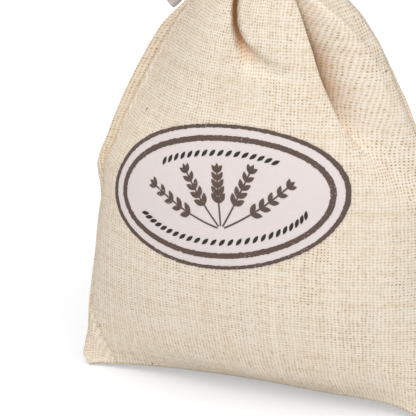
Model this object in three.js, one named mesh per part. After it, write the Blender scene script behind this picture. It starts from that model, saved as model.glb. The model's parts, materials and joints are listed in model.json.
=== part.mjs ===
// Lavender sachet: a muslin pouch full of dried lavender, gathered at the neck by a ribbon drawstring.
// Millimetres, +Z up. The label faces -Y. The pouch sits on its lower back, with its bottom seam in front.

import * as THREE from "three";

// Cloth and clearance.
// Further down, a fullness of 0.5 is an elliptic section, and a larger one draws it in towards the seams.
const CLOTH = 0.7;
const CLEARANCE = 0.3;

// Bottom seam: it reaches forward of the neck, stands on its two corners and arches up between them
const CORNER_HALF_WIDTH = 37.4;
const CORNER_REACH = 5;
const TOE_REACH = 3.3;
const TOE_RISE = 20;
const SEAM_REACH = 7.2;
const SEAM_ARCH = 2.4;
const SEAM_FULLNESS = 0.9;

// Heel, where the front starts to swell and the back lies flat on the table
const HEEL_HEIGHT = 7.5;
const HEEL_HALF_WIDTH = 36.8;
const HEEL_FRONT = 13.2;
const HEEL_BACK = 9;
const HEEL_DIP = 3;
const HEEL_FULLNESS = 0.6;

// Belly, the fullest level
const BELLY_HEIGHT = 22;
const BELLY_HALF_WIDTH = 35.7;
const BELLY_FRONT = 17.6;
const BELLY_BACK = 20;
const BELLY_FULLNESS = 0.54;

// Shoulder, the level that the filling comes up to at the sides
const SHOULDER_HEIGHT = 42;
const SHOULDER_HALF_WIDTH = 33.9;
const SHOULDER_FRONT = 16.6;
const SHOULDER_BACK = 17.4;
const SHOULDER_FULLNESS = 0.56;

// Slope from the shoulder to the gathers
const SLOPE_HEIGHT = 60;
const SLOPE_HALF_WIDTH = 26;
const SLOPE_FRONT = 12.8;
const SLOPE_BACK = 13.2;
const SLOPE_FULLNESS = 0.6;

// Gathers just below the neck
const GATHER_DROP = 10;
const GATHER_HALF_WIDTH = 17;
const GATHER_FRONT = 9.4;
const GATHER_BACK = 9;
const GATHER_FULLNESS = 0.58;
const GATHER_FOLD = 1.3;

// Neck and the frill above it
const NECK_HEIGHT = 85;
const NECK_HALF_WIDTH = 8;
const NECK_HALF_DEPTH = 6.6;
const NECK_FULLNESS = 0.5;
const NECK_FOLD = 1.1;
const FRILL_HEIGHT = 23;
const FRILL_HALF_WIDTH = 16.5;
const FRILL_HALF_DEPTH = 12;
const FRILL_FOLD = 2.2;
const PLEATS = 5;

// Casing round the ribbon, and the open slit in each side seam above the seam's end
const CASING_HEIGHT = 8;
const SEAM_STOP = 12;
const SLIT_RISE = 5;

// Side seams, which stand out further above the filling
const SEAM_THICKNESS = 1.1;
const SEAM_WIDTH_LOW = 0.7;
const SEAM_WIDTH_HIGH = 2.1;
const SEAM_START = 4;

// Oval label, measured along the cloth
const LABEL_WIDTH = 52;
const LABEL_HEIGHT = 27.6;
const LABEL_RISE = 42.8;
const LABEL_SHIFT = -3.5;
const LABEL_TURN_DEG = 8;
const LABEL_FILM = 0.3;
const OUTER_LINE = 0.65;
const LINE_GAP = 1.45;
const END_GAP = 1.95;
const INNER_LINE = 1;

// Filling
const FILL_BOTTOM = 7;
const FILL_TOP = 64;
const FILL_CROWN = 4;
const FILL_SLACK = 1.1;

// Ribbon and its bow
const RIBBON_WIDTH = 3;
const RIBBON_THICKNESS = 0.5;
const RUN_GAP = 0.6;
const EXIT_RUN = 3;
const HINGE_GAP = 0.8;
const KNOT_LENGTH = 4.4;
const KNOT_RADIUS = 2.1;
const LOOP_LENGTH = 19;
const LOOP_SWELL = 3.6;
const LOOP_SPREAD_DEG = 50;
const LOOP_DROOP_DEG = 9;
const TAIL_BEND_OUT = 0.6;
const TAIL_BEND_DROP = 0.25;
const OUTER_TAIL_OUT = 8.2;
const OUTER_TAIL_DROP = 11.3;
const OUTER_TAIL_TURN_DEG = -17;
const BACK_TAIL_OUT = 12;
const BACK_TAIL_DROP = 9;
const BACK_TAIL_TURN_DEG = -72;

// Fineness of the facets
const COLUMNS_PER_PLEAT = 6;
const ROWS_PER_LEVEL = 4;
const LABEL_SIDES = 40;
const CURVE_SEGMENTS = 10;
const ARC_SAMPLES = 40;

// Finishes of the object
const MUSLIN = { color: 0xe6dacb, roughness: 0.95 };
const TURNED_MUSLIN = { color: 0xd9cbb9, roughness: 0.95 };
const PALE_PRINT = { color: 0xeee3e1, roughness: 0.8 };
const TAUPE_INK = { color: 0x6b5b55, roughness: 0.8 };
const DRIED_LAVENDER = { color: 0x7d7396, roughness: 1 };
const TAUPE_SATIN = { color: 0xb9aca4, roughness: 0.5 };

const { lerp, degToRad, smoothstep } = THREE.MathUtils;

function namedMesh(name, geometry, finish) {
  const material = new THREE.MeshStandardMaterial({ ...finish, metalness: 0 });
  const mesh = new THREE.Mesh(geometry, material);
  mesh.name = name;
  return mesh;
}

// A closed skin of triangles, collected row by row
class Skin {
  constructor() {
    this.positions = [];
    this.faces = [];
  }

  addRow(points) {
    const start = this.positions.length / 3;
    for (const point of points) {
      this.positions.push(point.x, point.y, point.z);
    }
    return points.map((_, i) => start + i);
  }

  addQuad(a, b, c, d) {
    this.faces.push(a, b, c, a, c, d);
  }

  // Joins two rows of equal length, facing out where across x up faces out
  bridge(lower, upper, closed) {
    const spans = closed ? lower.length : lower.length - 1;
    for (let i = 0; i < spans; i += 1) {
      const next = (i + 1) % lower.length;
      this.addQuad(lower[i], lower[next], upper[next], upper[i]);
    }
  }

  fan(centre, row) {
    for (let i = 0; i < row.length; i += 1) {
      this.faces.push(centre, row[i], row[(i + 1) % row.length]);
    }
  }

  geometry() {
    const geometry = new THREE.BufferGeometry();
    geometry.setAttribute("position", new THREE.Float32BufferAttribute(this.positions, 3));
    geometry.setIndex(this.faces);
    return geometry;
  }
}

function middleOf(ring) {
  const sum = ring.reduce((total, point) => total.add(point), new THREE.Vector3());
  return sum.divideScalar(ring.length);
}

// A solid lofted through closed rings, with a fan of triangles at each end
function ringLoft(rings, startCentre, endCentre) {
  const skin = new Skin();
  const rows = rings.map((ring) => skin.addRow(ring));
  for (let j = 0; j + 1 < rows.length; j += 1) {
    skin.bridge(rows[j], rows[j + 1], true);
  }
  const [start] = skin.addRow([startCentre]);
  const [end] = skin.addRow([endCentre]);
  skin.fan(start, [...rows[0]].reverse());
  skin.fan(end, rows[rows.length - 1]);
  return skin.geometry();
}

// A band lofted through sections that run round and meet again
function bandLoft(sections) {
  const skin = new Skin();
  const rows = sections.map((section) => skin.addRow(section));
  for (let k = 0; k < rows.length; k += 1) {
    skin.bridge([...rows[k]].reverse(), [...rows[(k + 1) % rows.length]].reverse(), true);
  }
  return skin.geometry();
}

// A thin shell between an outer and an inner grid of points, closed round its four edges
function shellLoft(outerGrid, innerGrid) {
  const skin = new Skin();
  const outer = outerGrid.map((row) => skin.addRow(row));
  const inner = innerGrid.map((row) => skin.addRow(row));
  const loop = [...outer, ...[...inner].reverse()];
  for (let j = 0; j < loop.length; j += 1) {
    skin.bridge(loop[j], loop[(j + 1) % loop.length], false);
  }
  const last = outer[0].length - 1;
  for (let j = 0; j + 1 < outer.length; j += 1) {
    skin.addQuad(outer[j][0], outer[j + 1][0], inner[j + 1][0], inner[j][0]);
    skin.addQuad(outer[j + 1][last], outer[j][last], inner[j][last], inner[j + 1][last]);
  }
  return skin.geometry();
}

// Levels of the pouch from the bottom seam to the edge of the frill.
// Each has the side seam, the middle of the front and of the back, and how full and folded its section is.
const GATHER_HEIGHT = NECK_HEIGHT - GATHER_DROP;
const FRILL_TOP = NECK_HEIGHT + FRILL_HEIGHT;
const levels = [
  {
    seam: [CORNER_HALF_WIDTH, 0],
    front: [-SEAM_REACH, SEAM_ARCH],
    back: [-SEAM_REACH, SEAM_ARCH],
    fullness: SEAM_FULLNESS,
    fold: 0,
  },
  {
    seam: [HEEL_HALF_WIDTH, HEEL_HEIGHT],
    front: [-HEEL_FRONT, HEEL_HEIGHT],
    back: [HEEL_BACK, -HEEL_DIP],
    fullness: HEEL_FULLNESS,
    fold: 0,
  },
  {
    seam: [BELLY_HALF_WIDTH, BELLY_HEIGHT],
    front: [-BELLY_FRONT, BELLY_HEIGHT],
    back: [BELLY_BACK, BELLY_HEIGHT],
    fullness: BELLY_FULLNESS,
    fold: 0,
  },
  {
    seam: [SHOULDER_HALF_WIDTH, SHOULDER_HEIGHT],
    front: [-SHOULDER_FRONT, SHOULDER_HEIGHT],
    back: [SHOULDER_BACK, SHOULDER_HEIGHT],
    fullness: SHOULDER_FULLNESS,
    fold: 0,
  },
  {
    seam: [SLOPE_HALF_WIDTH, SLOPE_HEIGHT],
    front: [-SLOPE_FRONT, SLOPE_HEIGHT],
    back: [SLOPE_BACK, SLOPE_HEIGHT],
    fullness: SLOPE_FULLNESS,
    fold: 0,
  },
  {
    seam: [GATHER_HALF_WIDTH, GATHER_HEIGHT],
    front: [-GATHER_FRONT, GATHER_HEIGHT],
    back: [GATHER_BACK, GATHER_HEIGHT],
    fullness: GATHER_FULLNESS,
    fold: GATHER_FOLD,
  },
  {
    seam: [NECK_HALF_WIDTH, NECK_HEIGHT],
    front: [-NECK_HALF_DEPTH, NECK_HEIGHT],
    back: [NECK_HALF_DEPTH, NECK_HEIGHT],
    fullness: NECK_FULLNESS,
    fold: NECK_FOLD,
  },
  {
    seam: [FRILL_HALF_WIDTH, FRILL_TOP],
    front: [-FRILL_HALF_DEPTH, FRILL_TOP],
    back: [FRILL_HALF_DEPTH, FRILL_TOP],
    fullness: NECK_FULLNESS,
    fold: FRILL_FOLD,
  },
];

// The side seam leans back from the corner of the pouch to the neck, and its toe is pushed further forward
function seamDepth(height) {
  const lean = CORNER_REACH * Math.max(0, 1 - height / NECK_HEIGHT);
  const toe = TOE_REACH * Math.max(0, 1 - height / TOE_RISE) ** 2;
  return -lean - toe;
}

function spline(pointOf) {
  return new THREE.CatmullRomCurve3(levels.map(pointOf));
}

const seamLine = spline(({ seam }) => new THREE.Vector3(seam[0], seamDepth(seam[1]), seam[1]));
const sectionTraits = spline(({ fullness, fold }) => new THREE.Vector3(fullness, fold, 0));
const FRONT = { side: -1, profile: spline(({ front }) => new THREE.Vector3(0, front[0], front[1])) };
const BACK = { side: 1, profile: spline(({ back }) => new THREE.Vector3(0, back[0], back[1])) };

// The place on a curve where it reaches a height, found by halving
function placeAtHeight(curve, height) {
  let low = 0;
  let high = 1;
  while (high - low > 1e-6) {
    const middle = (low + high) / 2;
    if (curve.getPoint(middle).z < height) {
      low = middle;
    } else {
      high = middle;
    }
  }
  return low;
}

// One rib of a panel, from its middle out to the side seam, with its length along the cloth
function ribAt(face, place, inset) {
  const seam = seamLine.getPoint(place);
  const middle = face.profile.getPoint(place);
  const [fullness, fold] = sectionTraits.getPoint(place).toArray();
  seam.x -= 2 * inset;
  middle.y -= face.side * inset;
  const rise = Math.hypot(middle.y - seam.y, middle.z - seam.z);
  const samples = [{ sine: 0, length: 0, rise }];
  for (let k = 1; k <= ARC_SAMPLES; k += 1) {
    const before = samples[k - 1];
    const sine = Math.sin((k / ARC_SAMPLES) * (Math.PI / 2));
    const height = rise * (1 - sine * sine) ** fullness;
    const step = Math.hypot(seam.x * (sine - before.sine), height - before.rise);
    samples.push({ sine, length: before.length + step, rise: height });
  }
  return { seam, middle, fullness, fold, samples, length: samples[ARC_SAMPLES].length };
}

function sineAtShare(rib, share) {
  const length = share * rib.length;
  const k = Math.max(1, rib.samples.findIndex((sample) => sample.length >= length - 1e-9));
  const before = rib.samples[k - 1];
  const after = rib.samples[k];
  return lerp(before.sine, after.sine, (length - before.length) / (after.length - before.length));
}

// A point of the pouch: across runs from -1 at the left seam to 1 at the right seam.
// The table, or the cloth on it, presses the base flat at the floor's height.
function pouchPoint(face, place, across, inset = 0, floor = 0) {
  const rib = ribAt(face, place, inset);
  const sine = Math.sign(across) * sineAtShare(rib, Math.min(1, Math.abs(across)));
  const swell = (1 - sine * sine) ** rib.fullness;
  const y = lerp(rib.seam.y, rib.middle.y, swell);
  const z = lerp(rib.seam.z, rib.middle.z, swell);
  const point = new THREE.Vector3(rib.seam.x * sine, y, z);
  const outward = new THREE.Vector3(point.x, point.y, 0).normalize();
  point.addScaledVector(outward, rib.fold * Math.cos(Math.PI * PLEATS * across));
  point.z = Math.max(point.z, floor);
  return point;
}

// The two panels stand a hair apart at their seams, and further apart where the slit lets the ribbon out
const SEAM_END = NECK_HEIGHT - SEAM_STOP;
const SLIT_HALF = RUN_GAP / 2 + RIBBON_THICKNESS + CLEARANCE;
const SLIT_SHARPNESS = 8;

function panelPoint(face, place, across) {
  const point = pouchPoint(face, place, across);
  const open = smoothstep(point.z, SEAM_END, SEAM_END + SLIT_RISE);
  point.y += face.side * (CLEARANCE / 2 + SLIT_HALF * open * across ** SLIT_SHARPNESS);
  return point;
}

function panelNormal(face, place, across) {
  const step = 0.002;
  const low = Math.max(0, place - step);
  const high = Math.min(1, place + step);
  const left = Math.max(-1, across - step);
  const right = Math.min(1, across + step);
  const along = panelPoint(face, place, right).sub(panelPoint(face, place, left));
  const up = panelPoint(face, high, across).sub(panelPoint(face, low, across));
  return along.cross(up).multiplyScalar(-face.side).normalize();
}

// The inner side of the cloth. Along the seams it turns in beside the other panel.
const SEAM_TURN = 1.2 * CLOTH;

function liningPoint(face, place, across) {
  const point = panelPoint(face, place, across);
  const onSide = Math.abs(across) === 1;
  const onBottom = place === 0;
  if (!onSide && !onBottom) {
    return point.addScaledVector(panelNormal(face, place, across), -CLOTH);
  }
  point.x -= onSide ? Math.sign(across) * SEAM_TURN : 0;
  point.z += onBottom ? SEAM_TURN : 0;
  return point;
}

function evenShares(count) {
  return Array.from({ length: count + 1 }, (_, k) => k / count);
}

// Rows go up the pouch, and columns go round it: left to right on the front, and back again behind
const rowPlaces = evenShares((levels.length - 1) * ROWS_PER_LEVEL);

function columnPlaces(face) {
  return evenShares(PLEATS * COLUMNS_PER_PLEAT).map((share) => face.side * (1 - 2 * share));
}

function panelGeometry(face) {
  const columns = columnPlaces(face);
  const gridOf = (pointAt) => rowPlaces.map((place) => columns.map((across) => pointAt(face, place, across)));
  return shellLoft(gridOf(panelPoint), gridOf(liningPoint));
}

// A side seam: a strip of turned cloth outside the edge of the panels, wider as it goes up
function sideSeamGeometry(side) {
  const start = placeAtHeight(seamLine, SEAM_START);
  const end = placeAtHeight(seamLine, SEAM_END);
  const rings = [];
  for (const share of rowPlaces) {
    const edge = pouchPoint(FRONT, lerp(start, end, share), side);
    const near = edge.x + side * CLEARANCE;
    const far = near + side * lerp(SEAM_WIDTH_LOW, SEAM_WIDTH_HIGH, smoothstep(share, 0, 1));
    const [left, right] = [Math.min(near, far), Math.max(near, far)];
    const [low, high] = [edge.y - SEAM_THICKNESS / 2, edge.y + SEAM_THICKNESS / 2];
    const corners = [[left, low], [right, low], [right, high], [left, high]];
    rings.push(corners.map(([x, y]) => new THREE.Vector3(x, y, edge.z)));
  }
  return ringLoft(rings, middleOf(rings[0]), middleOf(rings[rings.length - 1]));
}

// The filling follows the inside of both panels, and is heaped a little at the top
function fillingGeometry() {
  const inset = CLOTH + FILL_SLACK;
  const floor = CLOTH + 2 * CLEARANCE;
  const start = placeAtHeight(seamLine, FILL_BOTTOM);
  const end = placeAtHeight(seamLine, FILL_TOP);
  const rings = [];
  for (const place of rowPlaces.filter((row) => row >= start && row <= end)) {
    const halves = [FRONT, BACK].map((face) => {
      const edgeToEdge = columnPlaces(face).slice(0, -1);
      return edgeToEdge.map((across) => pouchPoint(face, place, across, inset, floor));
    });
    rings.push(halves.flat());
  }
  const crown = middleOf(rings[rings.length - 1]);
  crown.z += FILL_CROWN;
  return ringLoft(rings, middleOf(rings[0]), crown);
}

// A point of the label, given by its distance right and up from the label's middle along the cloth
function labelPoint(right, up, lift) {
  const turn = degToRad(LABEL_TURN_DEG);
  const along = LABEL_SHIFT + right * Math.cos(turn) - up * Math.sin(turn);
  const rise = LABEL_RISE + right * Math.sin(turn) + up * Math.cos(turn);
  const place = FRONT.profile.getUtoTmapping(0, rise);
  const across = along / ribAt(FRONT, place, 0).length;
  const point = panelPoint(FRONT, place, across);
  return point.addScaledVector(panelNormal(FRONT, place, across), lift);
}

function labelOval(halfWidth, halfHeight, lift) {
  const oval = new THREE.EllipseCurve(0, 0, halfWidth, halfHeight);
  const points = oval.getPoints(LABEL_SIDES).slice(0, LABEL_SIDES);
  return points.map((point) => labelPoint(point.x, point.y, lift));
}

// The printed ground: a thin oval film that lies on the front panel
function labelGroundGeometry() {
  const shares = [1 / 3, 2 / 3, 1];
  const ovalAt = (lift) => (share) => labelOval((share * LABEL_WIDTH) / 2, (share * LABEL_HEIGHT) / 2, lift);
  const bottom = shares.map(ovalAt(CLEARANCE));
  const top = [...shares].reverse().map(ovalAt(CLEARANCE + LABEL_FILM));
  const bottomMiddle = labelPoint(0, 0, CLEARANCE);
  const topMiddle = labelPoint(0, 0, CLEARANCE + LABEL_FILM);
  return ringLoft([...bottom, ...top], bottomMiddle, topMiddle);
}

// A printed line: an oval band on the ground, set in from the label's sides and from its two ends
function labelLineGeometry(setIn, endIn, width) {
  const low = LABEL_FILM + 2 * CLEARANCE;
  const high = low + LABEL_FILM;
  const halfWidth = LABEL_WIDTH / 2 - endIn;
  const halfHeight = LABEL_HEIGHT / 2 - setIn;
  const corners = [
    labelOval(halfWidth - width, halfHeight - width, low),
    labelOval(halfWidth, halfHeight, low),
    labelOval(halfWidth, halfHeight, high),
    labelOval(halfWidth - width, halfHeight - width, high),
  ];
  const sections = corners[0].map((_, k) => corners.map((oval) => oval[k]));
  return bandLoft(sections);
}

// Ribbon, standing on its edge round the neck inside the casing, with both ends out of the left slit
const RIBBON_HALF_WIDTH = NECK_HALF_WIDTH - NECK_FOLD - CLOTH - CLEARANCE;
const RIBBON_HALF_DEPTH = NECK_HALF_DEPTH - NECK_FOLD - CLOTH - CLEARANCE;
const BUNCH_HALF_WIDTH = RIBBON_HALF_WIDTH - RIBBON_THICKNESS - CLEARANCE;
const BUNCH_HALF_DEPTH = RIBBON_HALF_DEPTH - RIBBON_THICKNESS - CLEARANCE;
const HINGE_X = -(NECK_HALF_WIDTH + EXIT_RUN);
const RUN_END = HINGE_X + HINGE_GAP / 2;

function drawstringGeometry() {
  const innerWidth = RIBBON_HALF_WIDTH - RIBBON_THICKNESS;
  const innerDepth = RIBBON_HALF_DEPTH - RIBBON_THICKNESS;
  const inside = RUN_GAP / 2;
  const outside = inside + RIBBON_THICKNESS;
  const outerStart = Math.PI - Math.asin(outside / RIBBON_HALF_DEPTH);
  const innerStart = Math.PI - Math.asin(inside / innerDepth);
  const outline = new THREE.Shape();
  outline.moveTo(RUN_END, outside);
  outline.absellipse(0, 0, RIBBON_HALF_WIDTH, RIBBON_HALF_DEPTH, outerStart, -outerStart, true);
  outline.lineTo(RUN_END, -outside);
  outline.lineTo(RUN_END, -inside);
  outline.absellipse(0, 0, innerWidth, innerDepth, -innerStart, innerStart, false);
  outline.lineTo(RUN_END, inside);
  const options = { depth: RIBBON_WIDTH, bevelEnabled: false, curveSegments: 4 * CURVE_SEGMENTS };
  return new THREE.ExtrudeGeometry(outline, options).translate(0, 0, NECK_HEIGHT - RIBBON_WIDTH / 2);
}

// The inner fold of the casing, drawn into half of the bunch that closes the neck
function casingGeometry(face) {
  const outline = new THREE.Shape();
  const start = face.side < 0 ? Math.PI : 0;
  outline.absellipse(0, 0, BUNCH_HALF_WIDTH, BUNCH_HALF_DEPTH, start, start + Math.PI, false);
  const options = { depth: CASING_HEIGHT, bevelEnabled: false, curveSegments: 2 * CURVE_SEGMENTS };
  const geometry = new THREE.ExtrudeGeometry(outline, options);
  return geometry.translate(0, (face.side * CLEARANCE) / 2, NECK_HEIGHT - CASING_HEIGHT / 2);
}

// Knot: a short barrel that lies along the ribbon
function knotGeometry() {
  const half = KNOT_LENGTH / 2;
  const profile = new THREE.Path();
  profile.moveTo(0, -half);
  profile.lineTo(KNOT_RADIUS / 2, -half);
  profile.quadraticCurveTo(KNOT_RADIUS, -half, KNOT_RADIUS, 0);
  profile.quadraticCurveTo(KNOT_RADIUS, half, KNOT_RADIUS / 2, half);
  profile.lineTo(0, half);
  const points = profile.getPoints(CURVE_SEGMENTS / 2);
  return new THREE.LatheGeometry(points, 2 * CURVE_SEGMENTS).rotateZ(Math.PI / 2);
}

// The outline of one loop of the bow, seen along the ribbon's edge, set in by a distance.
// Its two sides are pressed together at the knot, so its hole starts a little way out.
const LOOP_ROOT_FILL = 3;

function loopOutline(path, setIn) {
  const root = RIBBON_THICKNESS + CLEARANCE - setIn;
  const start = LOOP_ROOT_FILL * setIn;
  const length = LOOP_LENGTH - setIn;
  const swell = LOOP_SWELL - setIn;
  const reach = length / 2;
  path.moveTo(start, -root);
  path.bezierCurveTo(reach, -root - swell, length, -swell, length, 0);
  path.bezierCurveTo(length, swell, reach, root + swell, start, root);
  path.closePath();
  return path;
}

function loopGeometry() {
  const outline = loopOutline(new THREE.Shape(), 0);
  outline.holes.push(loopOutline(new THREE.Path(), RIBBON_THICKNESS));
  const options = { depth: RIBBON_WIDTH, bevelEnabled: false, curveSegments: CURVE_SEGMENTS };
  return new THREE.ExtrudeGeometry(outline, options).translate(0, 0, -RIBBON_WIDTH / 2);
}

// A tail of the bow: a strip of ribbon that leaves the knot, then falls along the shoulder
function tailGeometry(out, drop) {
  const route = new THREE.QuadraticBezierCurve(
    new THREE.Vector2(0, 0),
    new THREE.Vector2(out * TAIL_BEND_OUT, -drop * TAIL_BEND_DROP),
    new THREE.Vector2(out, -drop),
  );
  const half = RIBBON_THICKNESS / 2;
  const edge = (offset) => (_, k) => {
    const share = k / CURVE_SEGMENTS;
    const tangent = route.getTangent(share);
    return route.getPoint(share).add(new THREE.Vector2(-tangent.y, tangent.x).multiplyScalar(offset));
  };
  const steps = Array.from({ length: CURVE_SEGMENTS + 1 });
  const outline = new THREE.Shape([...steps.map(edge(-half)), ...steps.map(edge(half)).reverse()]);
  const options = { depth: RIBBON_WIDTH, bevelEnabled: false };
  const geometry = new THREE.ExtrudeGeometry(outline, options);
  return geometry.translate(0, 0, -RIBBON_WIDTH / 2).rotateX(Math.PI / 2);
}

// The bow stands beside the neck, with its loops to the front and back and its tails below
function makeBow() {
  const bow = new THREE.Group();
  const knotReach = KNOT_RADIUS + CLEARANCE;
  const loopStart = Math.hypot(KNOT_LENGTH / 2, KNOT_RADIUS);
  bow.position.set(HINGE_X - HINGE_GAP / 2 - KNOT_LENGTH / 2, 0, NECK_HEIGHT);
  bow.add(namedMesh("bow_knot", knotGeometry(), TAUPE_SATIN));
  for (const [name, side] of [["front_bow_loop", 1], ["back_bow_loop", -1]]) {
    const loop = namedMesh(name, loopGeometry(), TAUPE_SATIN);
    loop.position.x = loopStart;
    loop.rotation.y = degToRad(LOOP_DROOP_DEG);
    const arm = new THREE.Group();
    arm.rotation.z = Math.PI + side * degToRad(LOOP_SPREAD_DEG);
    arm.add(loop);
    bow.add(arm);
  }
  const outerShape = tailGeometry(OUTER_TAIL_OUT, OUTER_TAIL_DROP);
  const outerTail = namedMesh("outer_bow_tail", outerShape, TAUPE_SATIN);
  outerTail.position.set(-KNOT_LENGTH / 2, 0, -knotReach);
  outerTail.rotation.z = Math.PI + degToRad(OUTER_TAIL_TURN_DEG);
  const backShape = tailGeometry(BACK_TAIL_OUT, BACK_TAIL_DROP);
  const backTail = namedMesh("back_bow_tail", backShape, TAUPE_SATIN);
  backTail.position.set(KNOT_LENGTH / 4, 0, -knotReach);
  backTail.rotation.z = Math.PI + degToRad(BACK_TAIL_TURN_DEG);
  bow.add(outerTail, backTail);
  return bow;
}

// The neck stands midway between the fullest front and the fullest back
const sachet = new THREE.Group();
sachet.position.y = (BELLY_FRONT - BELLY_BACK) / 2;
sachet.add(
  namedMesh("front_panel", panelGeometry(FRONT), MUSLIN),
  namedMesh("back_panel", panelGeometry(BACK), MUSLIN),
  namedMesh("left_side_seam", sideSeamGeometry(-1), TURNED_MUSLIN),
  namedMesh("right_side_seam", sideSeamGeometry(1), TURNED_MUSLIN),
  namedMesh("front_casing", casingGeometry(FRONT), TURNED_MUSLIN),
  namedMesh("back_casing", casingGeometry(BACK), TURNED_MUSLIN),
  namedMesh("lavender_filling", fillingGeometry(), DRIED_LAVENDER),
  namedMesh("label_ground", labelGroundGeometry(), PALE_PRINT),
  namedMesh("label_outer_ring", labelLineGeometry(0, 0, OUTER_LINE), TAUPE_INK),
  namedMesh(
    "label_inner_ring",
    labelLineGeometry(OUTER_LINE + LINE_GAP, OUTER_LINE + END_GAP, INNER_LINE),
    TAUPE_INK,
  ),
  namedMesh("drawstring", drawstringGeometry(), TAUPE_SATIN),
  makeBow(),
);

export default sachet;
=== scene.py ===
# %% [markdown]
# # A lavender sachet in Blender
# The sachet is a small muslin pouch, full of dried lavender, that a narrow ribbon draws shut at the neck.
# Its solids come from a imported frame, which gives every piece its place and its real size.
# This lesson dresses those solids: gathered cloth, sewn edges, a printed label and a satin bow.

# %% Load the frame
import json
import math

import bmesh
import bpy
import numpy as np
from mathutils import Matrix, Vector, noise

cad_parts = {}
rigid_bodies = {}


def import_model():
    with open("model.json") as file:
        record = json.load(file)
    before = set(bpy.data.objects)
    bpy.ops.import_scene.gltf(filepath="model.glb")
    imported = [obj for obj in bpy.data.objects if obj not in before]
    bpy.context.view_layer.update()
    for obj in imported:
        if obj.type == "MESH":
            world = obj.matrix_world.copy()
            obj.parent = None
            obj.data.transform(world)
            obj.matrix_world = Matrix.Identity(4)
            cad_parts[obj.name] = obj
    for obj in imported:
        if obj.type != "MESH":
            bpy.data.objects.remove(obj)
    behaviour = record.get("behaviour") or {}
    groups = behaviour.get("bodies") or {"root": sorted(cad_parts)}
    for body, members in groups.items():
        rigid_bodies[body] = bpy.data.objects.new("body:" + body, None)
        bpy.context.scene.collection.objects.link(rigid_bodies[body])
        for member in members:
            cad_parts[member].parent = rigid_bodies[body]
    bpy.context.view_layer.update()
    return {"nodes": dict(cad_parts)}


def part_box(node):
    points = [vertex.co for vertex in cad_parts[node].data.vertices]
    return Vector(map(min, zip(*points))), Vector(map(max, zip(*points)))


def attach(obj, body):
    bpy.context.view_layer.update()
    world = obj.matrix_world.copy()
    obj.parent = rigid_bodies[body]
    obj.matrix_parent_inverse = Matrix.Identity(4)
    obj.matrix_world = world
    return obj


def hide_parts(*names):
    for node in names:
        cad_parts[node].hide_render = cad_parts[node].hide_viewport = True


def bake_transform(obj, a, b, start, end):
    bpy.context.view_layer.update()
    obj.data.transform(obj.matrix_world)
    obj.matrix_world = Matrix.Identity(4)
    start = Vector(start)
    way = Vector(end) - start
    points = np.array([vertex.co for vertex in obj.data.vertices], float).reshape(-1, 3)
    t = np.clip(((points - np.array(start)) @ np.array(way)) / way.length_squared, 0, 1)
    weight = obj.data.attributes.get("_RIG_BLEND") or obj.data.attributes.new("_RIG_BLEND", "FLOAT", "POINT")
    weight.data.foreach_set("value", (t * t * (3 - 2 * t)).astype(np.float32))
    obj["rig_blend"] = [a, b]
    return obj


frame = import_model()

MM = 0.001
print("solids:", sorted(frame["nodes"]))

# %% [markdown]
# ## Camera
# The photo looks at the pouch from its right and from a little above, through a long lens.
# A camera can be turned until the picture fits, but here it is placed by the point under the neck:
# that point, its pixel and the scale fix the aim, so no shift of the lens is needed.

# %% Camera
drawstring_low, drawstring_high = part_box("drawstring")
NECK_Y = (drawstring_low.y + drawstring_high.y) / 2
NECK_HEIGHT = (drawstring_low.z + drawstring_high.z) / 2 / MM
VIEW_AZIMUTH = math.radians(26)
VIEW_ELEVATION = math.radians(18.8)
VIEW_DISTANCE = 0.9
FRONT_OF_NECK = 0.02
IMAGE_PIXELS = 416
PIXELS_PER_METRE = 5300
NECK_FOOT_PIXEL = (274, 383)

picture_right = Vector((math.cos(VIEW_AZIMUTH), math.sin(VIEW_AZIMUTH), 0))
level_ahead = Vector((-math.sin(VIEW_AZIMUTH), math.cos(VIEW_AZIMUTH), 0))
straight_up = Vector((0, 0, 1))
picture_up = level_ahead * math.sin(VIEW_ELEVATION) + straight_up * math.cos(VIEW_ELEVATION)
ahead = level_ahead * math.cos(VIEW_ELEVATION) - straight_up * math.sin(VIEW_ELEVATION)
neck_foot = Vector((0, NECK_Y, 0))
step_right = (IMAGE_PIXELS / 2 - NECK_FOOT_PIXEL[0]) / PIXELS_PER_METRE
step_up = (NECK_FOOT_PIXEL[1] - IMAGE_PIXELS / 2) / PIXELS_PER_METRE
aim = neck_foot + picture_right * step_right + picture_up * step_up - ahead * FRONT_OF_NECK

camera = bpy.data.objects.new("camera", bpy.data.cameras.new("camera"))
camera.data.lens = PIXELS_PER_METRE * VIEW_DISTANCE * camera.data.sensor_width / IMAGE_PIXELS
camera.location = aim - ahead * VIEW_DISTANCE
camera.rotation_euler = ahead.to_track_quat("-Z", "Y").to_euler()
bpy.context.scene.collection.objects.link(camera)
bpy.context.scene.camera = camera
print("camera lens:", round(camera.data.lens), "mm")

# %% [markdown]
# ## A grid that can become anything
# Cloth, ribbon and seams are all sheets, so they can all start as a flat grid.
# One helper makes the grid, moves each of its points to a place on the piece, and lays out the UV map.
# The UV map keeps millimetres of flat cloth, so that the weave has its real size wherever the cloth goes.

# %% Grid helpers
FLAT_MM_PER_UV = 100
MERGE_DISTANCE = 1e-6


def finished_piece(name, mesh, material, body):
    """Links a mesh whose points are already in place, and lets it move with a body of the frame."""
    piece = bpy.data.objects.new(name, mesh)
    piece.data.materials.append(material)
    bpy.context.scene.collection.objects.link(piece)
    for face in piece.data.polygons:
        face.use_smooth = True
    if body:
        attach(piece, body)
    return piece


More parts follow.
